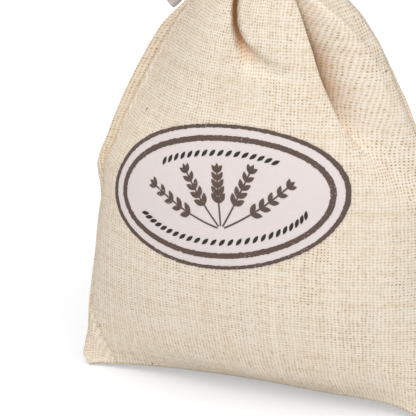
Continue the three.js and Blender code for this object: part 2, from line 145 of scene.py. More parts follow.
def add_grid(shape, flat_layer, points, flat, folds=None):
    """Adds a grid to a bmesh, from rows of points and rows of flat places, both in millimetres."""
    rows, columns = points.shape[0] - 1, points.shape[1] - 1
    made = bmesh.ops.create_grid(shape, x_segments=columns, y_segments=rows, size=0.5)["verts"]
    place = {vert: (round((vert.co.y + 0.5) * rows), round((vert.co.x + 0.5) * columns)) for vert in made}
    faces = {face for vert in made for face in vert.link_faces}
    for face in faces:
        for loop in face.loops:
            loop[flat_layer].uv = flat[place[loop.vert]] / FLAT_MM_PER_UV
    for vert, spot in place.items():
        vert.co = Vector(points[spot]) * MM
        for shade, depths in (folds or {}).items():
            vert[shape.verts.layers.float[shade]] = depths[spot]


def grid_mesh(name, points, flat, closed=False, turned=False, capped=False, folds=None):
    """A mesh that is one grid. Closed joins edges that meet, and capped fills the holes at its ends.
    Folds gives, by name, how many millimetres deep each point lies, as attributes for the material's painted
    shade."""
    shape = bmesh.new()
    for shade in folds or {}:
        shape.verts.layers.float.new(shade)
    add_grid(shape, shape.loops.layers.uv.new("cloth"), points, flat, folds)
    if closed:
        bmesh.ops.remove_doubles(shape, verts=shape.verts, dist=MERGE_DISTANCE)
    if capped:
        bmesh.ops.holes_fill(shape, edges=[edge for edge in shape.edges if edge.is_boundary], sides=0)
    if turned:
        bmesh.ops.reverse_faces(shape, faces=shape.faces)
    mesh = bpy.data.meshes.new(name)
    shape.to_mesh(mesh)
    shape.free()
    return mesh


def ramp(value, low, high):
    """Goes smoothly from 0 at low to 1 at high."""
    share = np.clip((value - low) / (high - low), 0, 1)
    return share * share * (3 - 2 * share)


# %% [markdown]
# ## The body of the pouch
# A filled pouch is a pillow that is drawn in at the top: two panels, sewn together at their sides.
# Its body could be simulated from flat cloth, but then it wouldn't keep the outline that the solids have.
# So it is lofted through the same levels as the solids, and its folds are added to that.

# %% Levels of the pouch, in millimetres from the neck's own line
SEAM_LEVELS = [(37.4, 0), (36.8, 7.5), (35.7, 22), (33.9, 42), (26, 60), (17, 75), (8, 85), (16.5, 108)]
FRONT_LEVELS = [(-7.2, 2.4), (-13.2, 7.5), (-17.6, 22), (-16.6, 42),
                (-12.8, 60), (-9.4, 75), (-6.6, 85), (-12, 108)]
BACK_LEVELS = [(-7.2, 2.4), (9, -1.5), (20, 22), (17.4, 42), (13.2, 60), (9, 75), (6.6, 85), (12, 108)]
FULLNESS = [0.9, 0.6, 0.54, 0.56, 0.6, 0.58, 0.5, 0.5]
print("levels:", len(SEAM_LEVELS), "from the bottom seam to the edge of the frill")


# %% A smooth curve through the levels
def smooth_curve(points):
    """A curve through points, which doesn't overshoot where they are close together."""
    inner = np.array(points, float)
    held = np.vstack([2 * inner[0] - inner[1], inner, 2 * inner[-1] - inner[-2]])

    def at(place):
        span = min(max(place, 0) * (len(inner) - 1), len(inner) - 1 - 1e-9)
        k = int(span)
        share = span - k
        before, start, end, after = held[k:k + 4]
        steps = (start - before, end - start, after - end)
        gaps = [max(np.linalg.norm(step), 1e-9) ** 0.5 for step in steps]
        leave = (start - before) / gaps[0] - (end - before) / (gaps[0] + gaps[1]) + (end - start) / gaps[1]
        arrive = (end - start) / gaps[1] - (after - start) / (gaps[1] + gaps[2]) + (after - end) / gaps[2]
        leave, arrive = leave * gaps[1], arrive * gaps[1]
        square = 3 * (end - start) - 2 * leave - arrive
        cube = 2 * (start - end) + leave + arrive
        return start + leave * share + square * share ** 2 + cube * share ** 3

    return at


print("halfway up the levels, in mm:", smooth_curve(SEAM_LEVELS)(0.5).round(1))

# %% [markdown]
# ## Side seams of the body
# The bottom corners reach forward, so that the pouch stands on them and on its back.
# A sewn side is never a clean curve: small bumps, each with a height, a spread and a reach, stand out of it
# or are drawn in, and the right side is drawn back where the cloth laps over in front of it.

# %% Lines of the seams and of the middles
CORNER_REACH = 5
TOE_REACH = 3.3
TOE_RISE = 20
SEAM_BUMPS = {-1: [(34, 4.5, -0.5), (39.5, 3, 0.35), (46, 5, -0.7), (53, 4, -0.2)], 1: [(59, 14, 1.4)]}
SEAM_BACK = 2.0
SEAM_BACK_HEIGHT = 72
SEAM_BACK_SPREAD = 9


def seam_depth(height):
    """How far the seam's line lies in front of the neck's."""
    lean = CORNER_REACH * max(0.0, 1 - height / NECK_HEIGHT)
    toe = TOE_REACH * max(0.0, 1 - height / TOE_RISE) ** 2
    return -lean - toe


def bell(value, middle, spread):
    """Is 1 at the middle and runs out on both sides of it."""
    return np.exp(-((value - middle) / spread) ** 2)


def seam_shift(side, height):
    """How far a side seam stands out of its level."""
    return sum(reach * bell(height, middle, spread) for middle, spread, reach in SEAM_BUMPS[side])


def seam_back(side, height):
    """How far the right side seam is drawn back below the neck."""
    return (side > 0) * SEAM_BACK * bell(height, SEAM_BACK_HEIGHT, SEAM_BACK_SPREAD)


seam_line = smooth_curve([(x, seam_depth(z), z) for x, z in SEAM_LEVELS])
fullness_at = smooth_curve([(f, 0, 0) for f in FULLNESS])
middle_line = {
    -1: smooth_curve([(0, y, z) for y, z in FRONT_LEVELS]),
    1: smooth_curve([(0, y, z) for y, z in BACK_LEVELS]),
}
print("bottom corner, in mm:", seam_line(0).round(1))

# %% Rows of cloth
RIB_SAMPLES = 61
LINE_SAMPLES = 701
LEFT_SLACK = 0.45
SLACK_ACROSS = (0.3, 0.95)
SLACK_HEIGHTS = (42, 58)


def rib(side, place, across, inset=0.0):
    """One row of cloth from the left seam (-1) to the right seam (1), and half of its length."""
    seam = seam_line(place) - np.array([2 * inset, 0, 0])
    middle = middle_line[side](place) - np.array([0, side * inset, 0])
    fullness = fullness_at(place)[0]
    sines = np.sin(np.linspace(0, math.pi / 2, RIB_SAMPLES))
    rise = math.hypot(middle[1] - seam[1], middle[2] - seam[2])
    heights = rise * np.maximum(0, 1 - sines ** 2) ** fullness
    steps = np.hypot(np.diff(sines) * seam[0], np.diff(heights))
    lengths = np.concatenate([[0], np.cumsum(steps)])
    sine = np.sign(across) * np.interp(np.abs(across) * lengths[-1], lengths, sines)
    slack = LEFT_SLACK * ramp(-sine, *SLACK_ACROSS) * ramp(seam[2], *SLACK_HEIGHTS)
    swell = np.maximum(0, 1 - sine ** 2) ** (fullness + slack)
    y = seam[1] + (middle[1] - seam[1]) * swell
    z = seam[2] + (middle[2] - seam[2]) * swell
    return np.stack([seam[0] * sine, y, z], axis=1), lengths[-1]


def even_rows(side, count):
    """Places that are evenly spaced up the middle of a panel, and their height along the cloth."""
    places = np.linspace(0, 1, LINE_SAMPLES)
    line = np.array([middle_line[side](place) for place in places])
    line[:, 2] = np.maximum(line[:, 2], 0)
    climbed = np.concatenate([[0], np.cumsum(np.linalg.norm(np.diff(line, axis=0), axis=1))])
    heights = np.linspace(0, climbed[-1], count + 1)
    return np.interp(heights, climbed, places), heights


for side, name in ((-1, "front"), (1, "back")):
    panel_length = float(even_rows(side, 10)[1][-1])
    print(name, "panel is", round(panel_length), "mm long from its bottom seam to the edge of its frill")

# %% [markdown]
# ## Gathers
# The ribbon draws the wide cloth into a narrow neck, so the spare width folds inwards.
# Each pleat is deep at the neck and runs out lower down, where the filling pushes the cloth out again.
# A pleat is written as a path down the cloth: its height, its share of the way from the middle to the seam,
# its depth and its width. Skew makes one wall of a pleat steeper, and lean pulls its lip over the valley.
# A depth below zero is a crest instead of a valley. Sharp squares a valley off into a slit, and a way says
# where the slit runs in, if not straight in. The depth also goes to the material as painted shade in the
# fold;
# tint weighs that shade, and shade names the attribute that carries it.

# %% Pleats of the front and of the back
FRONT_PLEATS = [
    {"height": (61.5, 63.3, 64.5, 66.2, 68, 70.2, 72.4, 75.4, 77.8, 85, 108),
     "share": (0.24, 0.18, 0.13, 0.07, -0.02, -0.1, -0.16, -0.21, -0.25, -0.3, -0.3),
     "depth": (0, 0.15, 0.6, 1.6, 3.6, 5.6, 5.8, 5.6, 5.6, 1.2, 3.2),
     "width": (7, 6.2, 5.2, 3.8, 2.2, 1.0, 0.75, 0.7, 0.7, 1.1, 3), "skew": 0.3, "lean": 0.2, "sharp": 2.6,
     "way": (-0.44, 0.9, 0)},
    {"height": (42, 45.5, 48.8, 53.1, 57.4, 62.4, 64.9, 66.8, 69.9, 74.8, 79, 85, 108),
     "share": (0.92, 0.865, 0.805, 0.72, 0.645, 0.575, 0.547, 0.537, 0.52, 0.48, 0.443, 0.42, 0.4),
     "depth": (0, 0.5, 1.2, 2.2, 3.1, 4.3, 5, 5.5, 5.9, 5.4, 4.2, 1.2, 3),
     "width": (5, 4.8, 4.6, 4.2, 3.4, 2.9, 2.7, 2.6, 2.3, 1.9, 1.6, 1.1, 3), "skew": 0.68, "shade": "lap",
     "tint": (0, 0, 0.15, 0.35, 0.7, 1, 1, 1, 0.95, 0.6, 0.4, 0.3, 0.3),
     "lean": (0, 0, 0.1, 0.3, 0.7, 1.4, 1.5, 1.5, 1.5, 1.5, 1.5, 1.5, 1.5)},
    {"height": (42, 46, 50, 57, 64, 75, 79, 85),
     "share": (0.92, 0.86, 0.79, 0.66, 0.555, 0.485, 0.45, 0.42),
     "depth": (0, 0.4, 0.6, 0.9, 1.0, 0.9, 0.5, 0),
     "width": (5, 5, 4.8, 4.4, 4, 3.4, 2.8, 2), "skew": 0, "lean": 0},
    {"height": (50, 56, 61.5, 65.5, 69, 73, 76, 78.7, 85, 108),
     "share": (0.95, 0.91, 0.87, 0.85, 0.84, 0.79, 0.73, 0.66, 0.62, 0.62),
     "depth": (0, -0.5, -1.2, -1.9, -2.5, -2.8, -2.7, -2, -0.3, 0),
     "width": (3.6, 3.6, 3.6, 3.6, 3.6, 3.4, 3, 2.4, 1.4, 2), "skew": 0.25, "lean": 0},
    {"height": (76, 79, 81, 85, 108), "share": (0.95, 0.92, 0.9, 0.84, 0.8),
     "depth": (0, 0.4, 1.0, 1.2, 2.8), "width": (3, 2.4, 1.8, 1.1, 3), "skew": 0, "lean": 0.3},
    {"height": (72, 76, 80, 85, 108), "share": (0.14, 0.13, 0.11, 0.06, 0.06),
     "depth": (0, 0.4, 1.5, 1.2, 2.6), "width": (3, 2.2, 1.5, 1.1, 3), "skew": 0, "lean": 0},
    {"height": (66, 74, 80, 85, 108), "share": (-0.58, -0.61, -0.64, -0.66, -0.66),
     "depth": (0, 0.4, 1.6, 1.2, 3), "width": (4, 2.8, 1.7, 1.1, 3), "skew": -0.2, "lean": -0.4},
    {"height": (30, 38.7, 45, 53, 61, 68.7, 74.8, 80),
     "share": (-0.96, -0.955, -0.955, -0.955, -0.945, -0.92, -0.9, -0.9),
     "depth": (0, 0.35, 0.7, 0.8, 0.8, 0.8, 0.8, 0.2),
     "width": (1.2, 1.1, 1, 0.9, 0.9, 0.9, 0.9, 1), "skew": 0.3, "lean": 0},
    {"height": (-2, 2, 5, 8, 11, 15), "share": (-0.82, -0.86, -0.89, -0.92, -0.95, -0.985),
     "depth": (1.4, 1.6, 1.5, 1.2, 0.7, 0), "width": (1.1, 1.1, 1, 0.9, 0.8, 0.8), "skew": 0.4, "lean": 0},
]
BACK_PLEATS = [
    {"height": (54, 64, 74, 80, 85, 108), "share": (-0.68, -0.7, -0.74, -0.76, -0.78, -0.8),
     "depth": (0, 1, 2.4, 2.6, 1.2, 2.8), "width": (5, 3.4, 2, 1.5, 1.1, 3), "skew": 0.3, "lean": -0.8},
    {"height": (60, 68, 76, 80, 85, 108), "share": (-0.5, -0.44, -0.42, -0.41, -0.4, -0.4),
     "depth": (0, 1.1, 2.6, 2.8, 1.2, 3), "width": (4, 3, 2, 1.5, 1.1, 3), "skew": -0.3, "lean": 0.8},
    {"height": (52, 62, 72, 79, 85, 108), "share": (0.06, 0.02, 0, -0.01, -0.02, -0.04),
     "depth": (0, 1, 2.8, 3.2, 1.2, 3.2), "width": (5, 3.6, 2.2, 1.5, 1.1, 3), "skew": 0.2, "lean": 0.5},
    {"height": (62, 70, 78, 81, 85, 108), "share": (0.46, 0.42, 0.4, 0.39, 0.38, 0.36),
     "depth": (0, 1, 2.8, 2.6, 1.2, 3), "width": (4, 2.8, 1.7, 1.4, 1.1, 3), "skew": -0.3, "lean": -0.9},
    {"height": (56, 66, 76, 80, 85, 108), "share": (0.78, 0.78, 0.76, 0.76, 0.76, 0.76),
     "depth": (0, 0.9, 2.4, 2.4, 1.2, 2.8), "width": (4, 3, 1.8, 1.4, 1.1, 3), "skew": 0.2, "lean": 0.6},
]
print("pleats:", len(FRONT_PLEATS), "in front and", len(BACK_PLEATS), "at the back")

# %% [markdown]
# ## Folding a row of cloth
# One function folds one row: every pleat pushes the row in, and a leaning pleat pulls its lip sideways.
# Right of the large lap the cloth is drawn tight between a ridge and the side seam, and is flat there.

# %% Folding a row of cloth
LIP_SHIFT = 0.8
LEAN_DEPTH = 3
FACET_EDGE = 0.15
FACET = {"height": (50, 56, 61.5, 65.5, 69, 73, 76, 78.7, 82, 85),
         "ridge": (0.95, 0.92, 0.89, 0.87, 0.86, 0.81, 0.75, 0.68, 0.66, 0.64),
         "firmness": (0, 0.4, 0.8, 1, 1.2, 1.3, 1.3, 1.2, 0.8, 0)}


def pressed_to_facet(points, across):
    """Draws one row of cloth between the right ridge and the right seam towards a straight line."""
    height = points[len(points) // 2, 2]
    ridge, firmness = (np.interp(height, FACET["height"], FACET[key]) for key in ("ridge", "firmness"))
    share = np.clip((across - ridge) / (1 - ridge), 0, 1)[:, None]
    start = np.array([np.interp(ridge, across, points[:, k]) for k in range(3)])
    line = start + share * (points[-1] - start)
    return points + (line - points) * firmness * ramp(share, 0, FACET_EDGE)


def level_outward(points):
    """The level direction from the pouch's axis to each point."""
    outward = points * np.array([1, 1, 0])
    return outward / np.maximum(np.linalg.norm(outward, axis=1, keepdims=True), 1e-6)


def pleat_value(pleat, key, height):
    """A value of a pleat at each height. A value that is the same all along is written once, or is 1."""
    values = np.broadcast_to(pleat.get(key, 1), len(pleat["height"]))
    return np.interp(height, pleat["height"], values)


def fold_in(points, across, half_length, pleats):
    """Moves one row of cloth into its pleats, and says how deep each point went."""
    moved = points.copy()
    sunk = {"fold": np.zeros(len(points)), "lap": np.zeros(len(points))}
    outward = level_outward(points)
    along = np.gradient(points, axis=0)
    along /= np.maximum(np.linalg.norm(along, axis=1, keepdims=True), 1e-6)
    height = points[:, 2]
    for pleat in pleats:
        values = [pleat_value(pleat, key, height) for key in ("share", "depth", "width", "lean", "tint")]
        share, depth, width, lean, tint = values
        distance = (across - share) * half_length
        side_width = width * (1 + pleat["skew"] * np.sign(distance))
        valley = np.exp(-np.abs(distance / side_width) ** pleat.get("sharp", 2))
        lip = bell(distance, -np.sign(lean) * LIP_SHIFT * width, width)
        inward = np.array(pleat["way"]) if "way" in pleat else -outward
        moved += inward * (depth * valley)[:, None]
        # Painted shade: each point's depth, weighed by the pleat's tint, goes to the material, which darkens
        # the fold.
        shade = pleat.get("shade", "fold")
        sunk[shade] = np.maximum(sunk[shade], depth * valley * tint)
        moved += along * (lean * lip * np.clip(depth / LEAN_DEPTH, 0, 1))[:, None]
    return moved, sunk


sample_across = np.linspace(-1, 1, 121)
sample_row, sample_half_length = rib(-1, 0.8, sample_across)
_, sample_folds = fold_in(sample_row, sample_across, sample_half_length, FRONT_PLEATS)
for shade, depths in sample_folds.items():
    print("deepest", shade, "on one row:", round(float(depths.max()), 1), "mm")

# %% [markdown]
# ## Small unevenness
# Real cloth is never a perfect curve. The stitched sides pull it in here and there, buds push it out,
# and near the neck it crumples finely.
# Smooth noise with a fixed pattern gives all three, so that every run is alike.

# %% Unevenness of the cloth
LUMP_HEIGHT = 0.22
LUMP_SIZE = 11
CRUMPLE_HEIGHT = 0.4
GATHER_HEIGHT = 0.4
GATHER_COUNT = 13
PUCKER_HEIGHT = 0.3
PUCKER_LENGTH = 2.6
HOLLOW_DEPTH = 0.6


def uneven(side, across, point):
    """How far one point of the cloth stands out, in millimetres."""
    x, _, z = point
    lumps = LUMP_HEIGHT * noise.noise(Vector((x / LUMP_SIZE, z / LUMP_SIZE, 3.1 * side)))
    crumple_zone = ramp(z, 60, 80) * (1 - 0.5 * ramp(z, 88, 108))
    fine = CRUMPLE_HEIGHT * crumple_zone * noise.noise(Vector((across * 9, z / 26, 8.4 + side)))
    gather_zone = ramp(z, 77, 83) * (1 - ramp(z, 88, 98))
    fine += GATHER_HEIGHT * math.cos(math.pi * GATHER_COUNT * across) * gather_zone
    pucker_zone = ramp(abs(across), 0.8, 0.97) * ramp(z, 3, 12) * (1 - ramp(z, 70, 80))
    puckers = PUCKER_HEIGHT * pucker_zone * noise.noise(Vector((across * 2, z / PUCKER_LENGTH, 5.7 * side)))
    hollow = HOLLOW_DEPTH * bell(across, -0.86, 0.1) * bell(z, 50, 11) * (side < 0)
    return (lumps + fine + puckers - hollow) * ramp(z, 1, 8)


print("one point of the front stands out by", round(float(uneven(-1, 0.2, (8, -15, 40))), 2), "mm")

# %% [markdown]
# ## Points of a panel
# Each row of a panel is lofted, folded and made uneven, and then its ends are put right.
# The ends are held to the seam, and the bottom corners are blunt and pressed flat like ears.
# The bottom seam stands a little off the table beside the right corner.
# The left side is sewn only as far as the casing, which leaves a slit for the ribbon.

# %% Points of a panel
PANEL_COLUMNS = 240
PANEL_ROWS = 176
CLOTH_WIDTH = 84
SEAM_HOLD = 0.94
SEAM_PULL = 0.75
CORNER_ROUND = 5
CORNER_TUCK = 2.3
EAR_START = 4
EAR_REACH = 10
EAR_FLATNESS = 0.35
SEAM_LIFT = 1.1
SEAM_LIFT_MIDDLE = 27
SEAM_LIFT_SPREAD = 9
SEAM_LIFT_FADE = 10
SEAM_END = 73
SEAM_GAP = 0.04
SLIT_HALF = 1.1
SLIT_RISE = 5


def seam_lift(x, up):
    """How far the bottom seam stands off the table. It runs out higher up the cloth."""
    return SEAM_LIFT * bell(x, SEAM_LIFT_MIDDLE, SEAM_LIFT_SPREAD) * bell(up, 0, SEAM_LIFT_FADE)


def flat_width(across, half_length):
    """Millimetres of flat cloth from the middle of a row. Some spare width stays hidden in the folds."""
    return across * math.sqrt(half_length * CLOTH_WIDTH / 2)


def panel_grid(side):
    """Points and flat places of one panel, in millimetres, from its bottom seam to its frill's edge."""
    places, heights = even_rows(side, PANEL_ROWS)
    across = np.linspace(-1, 1, PANEL_COLUMNS + 1)
    pleats = FRONT_PLEATS if side < 0 else BACK_PLEATS
    points = np.zeros((PANEL_ROWS + 1, PANEL_COLUMNS + 1, 3))
    cloth = np.zeros((PANEL_ROWS + 1, PANEL_COLUMNS + 1, 2))
    folds = {shade: np.zeros((PANEL_ROWS + 1, PANEL_COLUMNS + 1)) for shade in ("fold", "lap")}
    half_lengths = []
    for row, place in enumerate(places):
        bare, half_length = rib(side, place, across)
        lift = np.array([uneven(side, share, spot) for share, spot in zip(across, bare)])
        folded, sunk = fold_in(bare, across, half_length, pleats)
        for shade in folds:
            folds[shade][row] = sunk[shade]
        folded += level_outward(bare) * lift[:, None]
        if side < 0:
            folded = pressed_to_facet(folded, across)
        held = ramp(np.abs(across), SEAM_HOLD, 1)[:, None]
        folded = folded * (1 - held) + bare * held
        for end in (-1, 1):
            near_seam = ramp(end * across, SEAM_PULL, 1)
            folded[:, 0] += end * near_seam * seam_shift(end, folded[:, 2])
            folded[:, 1] += near_seam * seam_back(end, folded[:, 2])
        from_corner = (1 - np.abs(across)) * half_length + heights[row]
        tucked = np.maximum(0, 1 - from_corner / CORNER_ROUND) ** 1.5
        folded[:, 0] -= np.sign(across) * CORNER_TUCK * tucked
        folded[:, 2] += seam_lift(folded[:, 0], heights[row])
        pressed = EAR_FLATNESS * (1 - ramp(from_corner, EAR_START, EAR_REACH))
        folded[:, 1] += (bare[0, 1] - folded[:, 1]) * pressed
        opened = ramp(folded[:, 2], SEAM_END, SEAM_END + SLIT_RISE) * np.maximum(0, -across) ** 8
        folded[:, 1] += side * (SEAM_GAP + SLIT_HALF * opened) + NECK_Y / MM
        folded[:, 2] = np.maximum(folded[:, 2], 0)
        points[row] = folded
        cloth[row, :, 0] = flat_width(across, half_length)
        cloth[row, :, 1] = heights[row]
        half_lengths.append(half_length)
    return points, cloth, np.array(half_lengths), folds


front_points, front_flat, front_half_lengths, front_folds = panel_grid(-1)
back_points, back_flat, back_half_lengths, back_folds = panel_grid(1)
print("panel grid:", front_points.shape)

# %% [markdown]
# ## Muslin
# Muslin is a plain weave: each thread goes over one and under the next.
# An image of cloth could be laid on the UV map, but the pitch of its threads is all that a weave needs.
# The nodes number the warp and weft threads and decide which lies on top. They paint shade into the holes
# between the threads and low on the threads where they dip under each other, and lighten their crowns.
# Where a point lies deep in a fold, its attribute adds the warm shade that light gets between two cloths.

# %% Node helpers
def new_material(name):
    material = bpy.data.materials.new(name)
    material.use_nodes = True
    return material, material.node_tree, material.node_tree.nodes["Principled BSDF"]


def connect(tree, value, socket):
    if isinstance(value, bpy.types.NodeSocket):
        tree.links.new(value, socket)
    else:
        socket.default_value = value


def calc(tree, operation, first, second=0.0, third=0.0):
    """One Math node, with sockets or plain numbers as its inputs."""
    node = tree.nodes.new("ShaderNodeMath")
    node.operation = operation
    for value, socket in zip((first, second, third), node.inputs):
        connect(tree, value, socket)
    return node.outputs[0]


def between(tree, value, low, high, start=0.0, end=1.0):
    """Goes smoothly from start to end as a value goes from low to high."""
    node = tree.nodes.new("ShaderNodeMapRange")
    node.interpolation_type = "SMOOTHSTEP"
    for given, socket in zip((value, low, high, start, end), node.inputs):
        connect(tree, given, socket)
    return node.outputs[0]


def mixed(tree, share, first, second):
    """A colour between two colours."""
    node = tree.nodes.new("ShaderNodeMix")
    node.data_type = "RGBA"
    connect(tree, share, node.inputs["Factor"])
    connect(tree, first, node.inputs["A"])
    connect(tree, second, node.inputs["B"])
    return node.outputs["Result"]


def noise_at(tree, vector, scale, detail=2.0):
    node = tree.nodes.new("ShaderNodeTexNoise")
    connect(tree, vector, node.inputs["Vector"])
    node.inputs["Scale"].default_value = scale
    node.inputs["Detail"].default_value = detail
    return node.outputs["Fac"]


# %% Cloth nodes
def thread_chance(tree, number, seed):
    """A fixed chance number for each thread."""
    node = tree.nodes.new("ShaderNodeTexWhiteNoise")
    node.noise_dimensions = "1D"
    connect(tree, calc(tree, "ADD", number, seed), node.inputs["W"])
    return node.outputs["Value"]


def bumped(tree, shader, height, distance):
    node = tree.nodes.new("ShaderNodeBump")
    node.inputs["Strength"].default_value = 1.0
    node.inputs["Distance"].default_value = distance
    tree.links.new(height, node.inputs["Height"])
    tree.links.new(node.outputs["Normal"], shader.inputs["Normal"])


def flat_map(tree):
    """The flat place on the cloth, as a vector and as millimetres across and up."""
    node = tree.nodes.new("ShaderNodeUVMap")
    node.uv_map = "cloth"
    parts = tree.nodes.new("ShaderNodeSeparateXYZ")
    tree.links.new(node.outputs[0], parts.inputs[0])
    across = calc(tree, "MULTIPLY", parts.outputs[0], FLAT_MM_PER_UV)
    up = calc(tree, "MULTIPLY", parts.outputs[1], FLAT_MM_PER_UV)
    return node.outputs[0], across, up


# %% Plain weave
WARP_PITCH = 0.73
WEFT_PITCH = 0.55
THREAD = (0.95, 0.87, 0.76, 1)
# The warm thread colour is each thread's own warmer tone, and painted shade where threads dip under others.
THREAD_TONE_AND_SHADE = (0.8, 0.665, 0.5, 1)
# The hole colour is painted shade: dark brown where one looks between the threads into the shaded pouch.
HOLE_SHADE = (0.27, 0.15, 0.065, 1)


def thread_round(tree, place):
    """The round back of each thread, from 0 between two threads to 1 on top."""
    return calc(tree, "ABSOLUTE", calc(tree, "SINE", calc(tree, "MULTIPLY", place, math.pi)))


def thread_girth(tree, slub, number, seed):
    """Each thread has a girth of its own, and slubs thicken it in places."""
    own = calc(tree, "MULTIPLY_ADD", thread_chance(tree, number, seed), 0.25, 0.5)
    return calc(tree, "MULTIPLY_ADD", slub, 0.6, own)


def weave(tree):
    """Sockets of a plain weave: its place on the cloth, its height, its holes and how warm it is.
    The warmth is each thread's own tone, and painted shade where threads dip under others.
    """
    place, across, up = flat_map(tree)
    wander = calc(tree, "SUBTRACT", noise_at(tree, place, 24, 4), 0.5)
    wander_up = calc(tree, "SUBTRACT", noise_at(tree, place, 33, 4), 0.5)
    warp = calc(tree, "DIVIDE", calc(tree, "MULTIPLY_ADD", wander, 1.0, across), WARP_PITCH)
    weft = calc(tree, "DIVIDE", calc(tree, "MULTIPLY_ADD", wander_up, 0.8, up), WEFT_PITCH)
    warp_number, weft_number = calc(tree, "FLOOR", warp), calc(tree, "FLOOR", weft)
    on_top = calc(tree, "FLOORED_MODULO", calc(tree, "ADD", warp_number, weft_number), 2)
    slub = noise_at(tree, place, 90, 3)
    warp_girth = thread_girth(tree, slub, warp_number, 0.5)
    warp_body = calc(tree, "MULTIPLY", thread_round(tree, warp), warp_girth)
    weft_girth = thread_girth(tree, slub, weft_number, 40.5)
    weft_body = calc(tree, "MULTIPLY", thread_round(tree, weft), weft_girth)
    warp_lift = calc(tree, "MULTIPLY", warp_body, calc(tree, "MULTIPLY_ADD", on_top, 0.35, 0.7))
    weft_lift = calc(tree, "MULTIPLY", weft_body, calc(tree, "MULTIPLY_ADD", on_top, -0.35, 1.05))
    height = calc(tree, "MAXIMUM", warp_lift, weft_lift)
    cell = tree.nodes.new("ShaderNodeCombineXYZ")
    tree.links.new(calc(tree, "FLOOR", calc(tree, "ADD", warp, 0.5)), cell.inputs[0])
    tree.links.new(calc(tree, "FLOOR", calc(tree, "ADD", weft, 0.5)), cell.inputs[1])
    chance = tree.nodes.new("ShaderNodeTexWhiteNoise")
    chance.noise_dimensions = "2D"
    tree.links.new(cell.outputs[0], chance.inputs["Vector"])
    cluster = calc(tree, "SUBTRACT", noise_at(tree, place, 9, 4), 0.5)
    wide = calc(tree, "MULTIPLY_ADD", cluster, 2.4, chance.outputs["Value"])
    openness = between(tree, wide, 0.4, 1.15, 0.14, 0.95)
    cover = calc(tree, "MAXIMUM", warp_body, weft_body)
    openness = calc(tree, "MULTIPLY", openness, between(tree, across, -36, -8, 0.45, 1.0))
    holes = calc(tree, "MULTIPLY", between(tree, cover, 0.22, 0.6, 1.0, 0.0), openness)
    tint = calc(tree, "MULTIPLY_ADD", thread_chance(tree, warp_number, 9.5), 0.15,
                calc(tree, "MULTIPLY", thread_chance(tree, weft_number, 70.5), 0.15))
    tint = calc(tree, "MULTIPLY_ADD", chance.outputs["Value"], 0.25, tint)
    # Painted shade and highlight: a thread turns warmer and darker low down, where it dips under another,
    # and lighter on its crown.
    tint = calc(tree, "MULTIPLY_ADD", height, -0.9, calc(tree, "ADD", tint, 0.92))
    return place, height, holes, tint


# %% Muslin
FLECK = (0.33, 0.16, 0.07, 1)
# Painted shade with warm bounced light: deep in a fold the cloth turns orange-brown, and under the lap's lip
# brown.
PAINTED_FOLD_SHADES = (("fold", 1.5, 6.3, (0.68, 0.31, 0.09, 1)), ("lap", 0.6, 5.0, (0.4, 0.2, 0.075, 1)))
PAINTED_SHADE_STRENGTH = 0.7


def shaded(colour, shade):
    """A colour, darkened by a share for each of its parts."""
    return tuple(part * share for part, share in zip(colour, shade)) + (1,)


def make_muslin(name, shade=(1, 1, 1)):
    material, tree, shader = new_material(name)
    place, height, holes, tint = weave(tree)
    light, warm = shaded(THREAD, shade), shaded(THREAD_TONE_AND_SHADE, shade)
    threads = mixed(tree, between(tree, tint, 0.3, 0.9), light, warm)
    cloth = mixed(tree, holes, threads, HOLE_SHADE)
    spots = tree.nodes.new("ShaderNodeTexVoronoi")
    spots.inputs["Scale"].default_value = 26
    tree.links.new(place, spots.inputs["Vector"])
    rare = tree.nodes.new("ShaderNodeSeparateColor")
    tree.links.new(spots.outputs["Color"], rare.inputs[0])
    near = between(tree, spots.outputs["Distance"], 0.05, 0.11, 1.0, 0.0)
    flecks = calc(tree, "MULTIPLY", near, calc(tree, "GREATER_THAN", rare.outputs[0], 0.86))
    flecked = mixed(tree, calc(tree, "MULTIPLY", flecks, 0.75), cloth, FLECK)
    colour = flecked
    # Painted shade: the deeper a point lies in a fold, the more its colour turns to that fold's darker,
    # warmer colour.
    for attribute, start, end, painted_shade_colour in PAINTED_FOLD_SHADES:
        depth = tree.nodes.new("ShaderNodeAttribute")
        depth.attribute_name = attribute
        share = between(tree, depth.outputs["Fac"], start, end, 0.0, PAINTED_SHADE_STRENGTH)
        colour = mixed(tree, share, colour, painted_shade_colour)
    tree.links.new(colour, shader.inputs["Base Color"])
    shader.inputs["Roughness"].default_value = 0.95
    shader.inputs["Specular IOR Level"].default_value = 0.15
    bumped(tree, shader, height, 0.09 * MM)
    return material


muslin = make_muslin("muslin")
# A copy of the muslin for the turned seam strips and hems, painted darker and warmer: painted shade.
turned_muslin = make_muslin("turned_muslin", (0.95, 0.915, 0.865))
print("muslin has", len(muslin.node_tree.nodes), "nodes")

# %% [markdown]
# ## Front and back panels
# Each panel is one sheet, and its frill shows the cloth's edge, so it needs a thickness.
# A Solidify modifier gives it one, and the grid itself stays a single layer that is easy to change.

# %% Front and back panels
CLOTH_THICKNESS = 0.45


def thicken(piece, thickness, offset=-1):
    wall = piece.modifiers.new("cloth thickness", "SOLIDIFY")
    wall.thickness = thickness * MM
    wall.offset = offset


front_mesh = grid_mesh("front_cloth", front_points, front_flat, folds=front_folds)
back_mesh = grid_mesh("back_cloth", back_points, back_flat, turned=True, folds=back_folds)
for name, mesh in (("front", front_mesh), ("back", back_mesh)):
    panel_piece = finished_piece(name + "_cloth", mesh, muslin, "pouch")
    thicken(panel_piece, CLOTH_THICKNESS)
    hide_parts(name + "_panel")
    print(panel_piece.name, "has", len(mesh.polygons), "faces")

# %% [markdown]
# ## A place on the cloth
# Print, thread and seams lie on the cloth, so they need a way to ask where the cloth is.
# The function below looks a place up in a panel's grid, and stands off from it by a small lift.

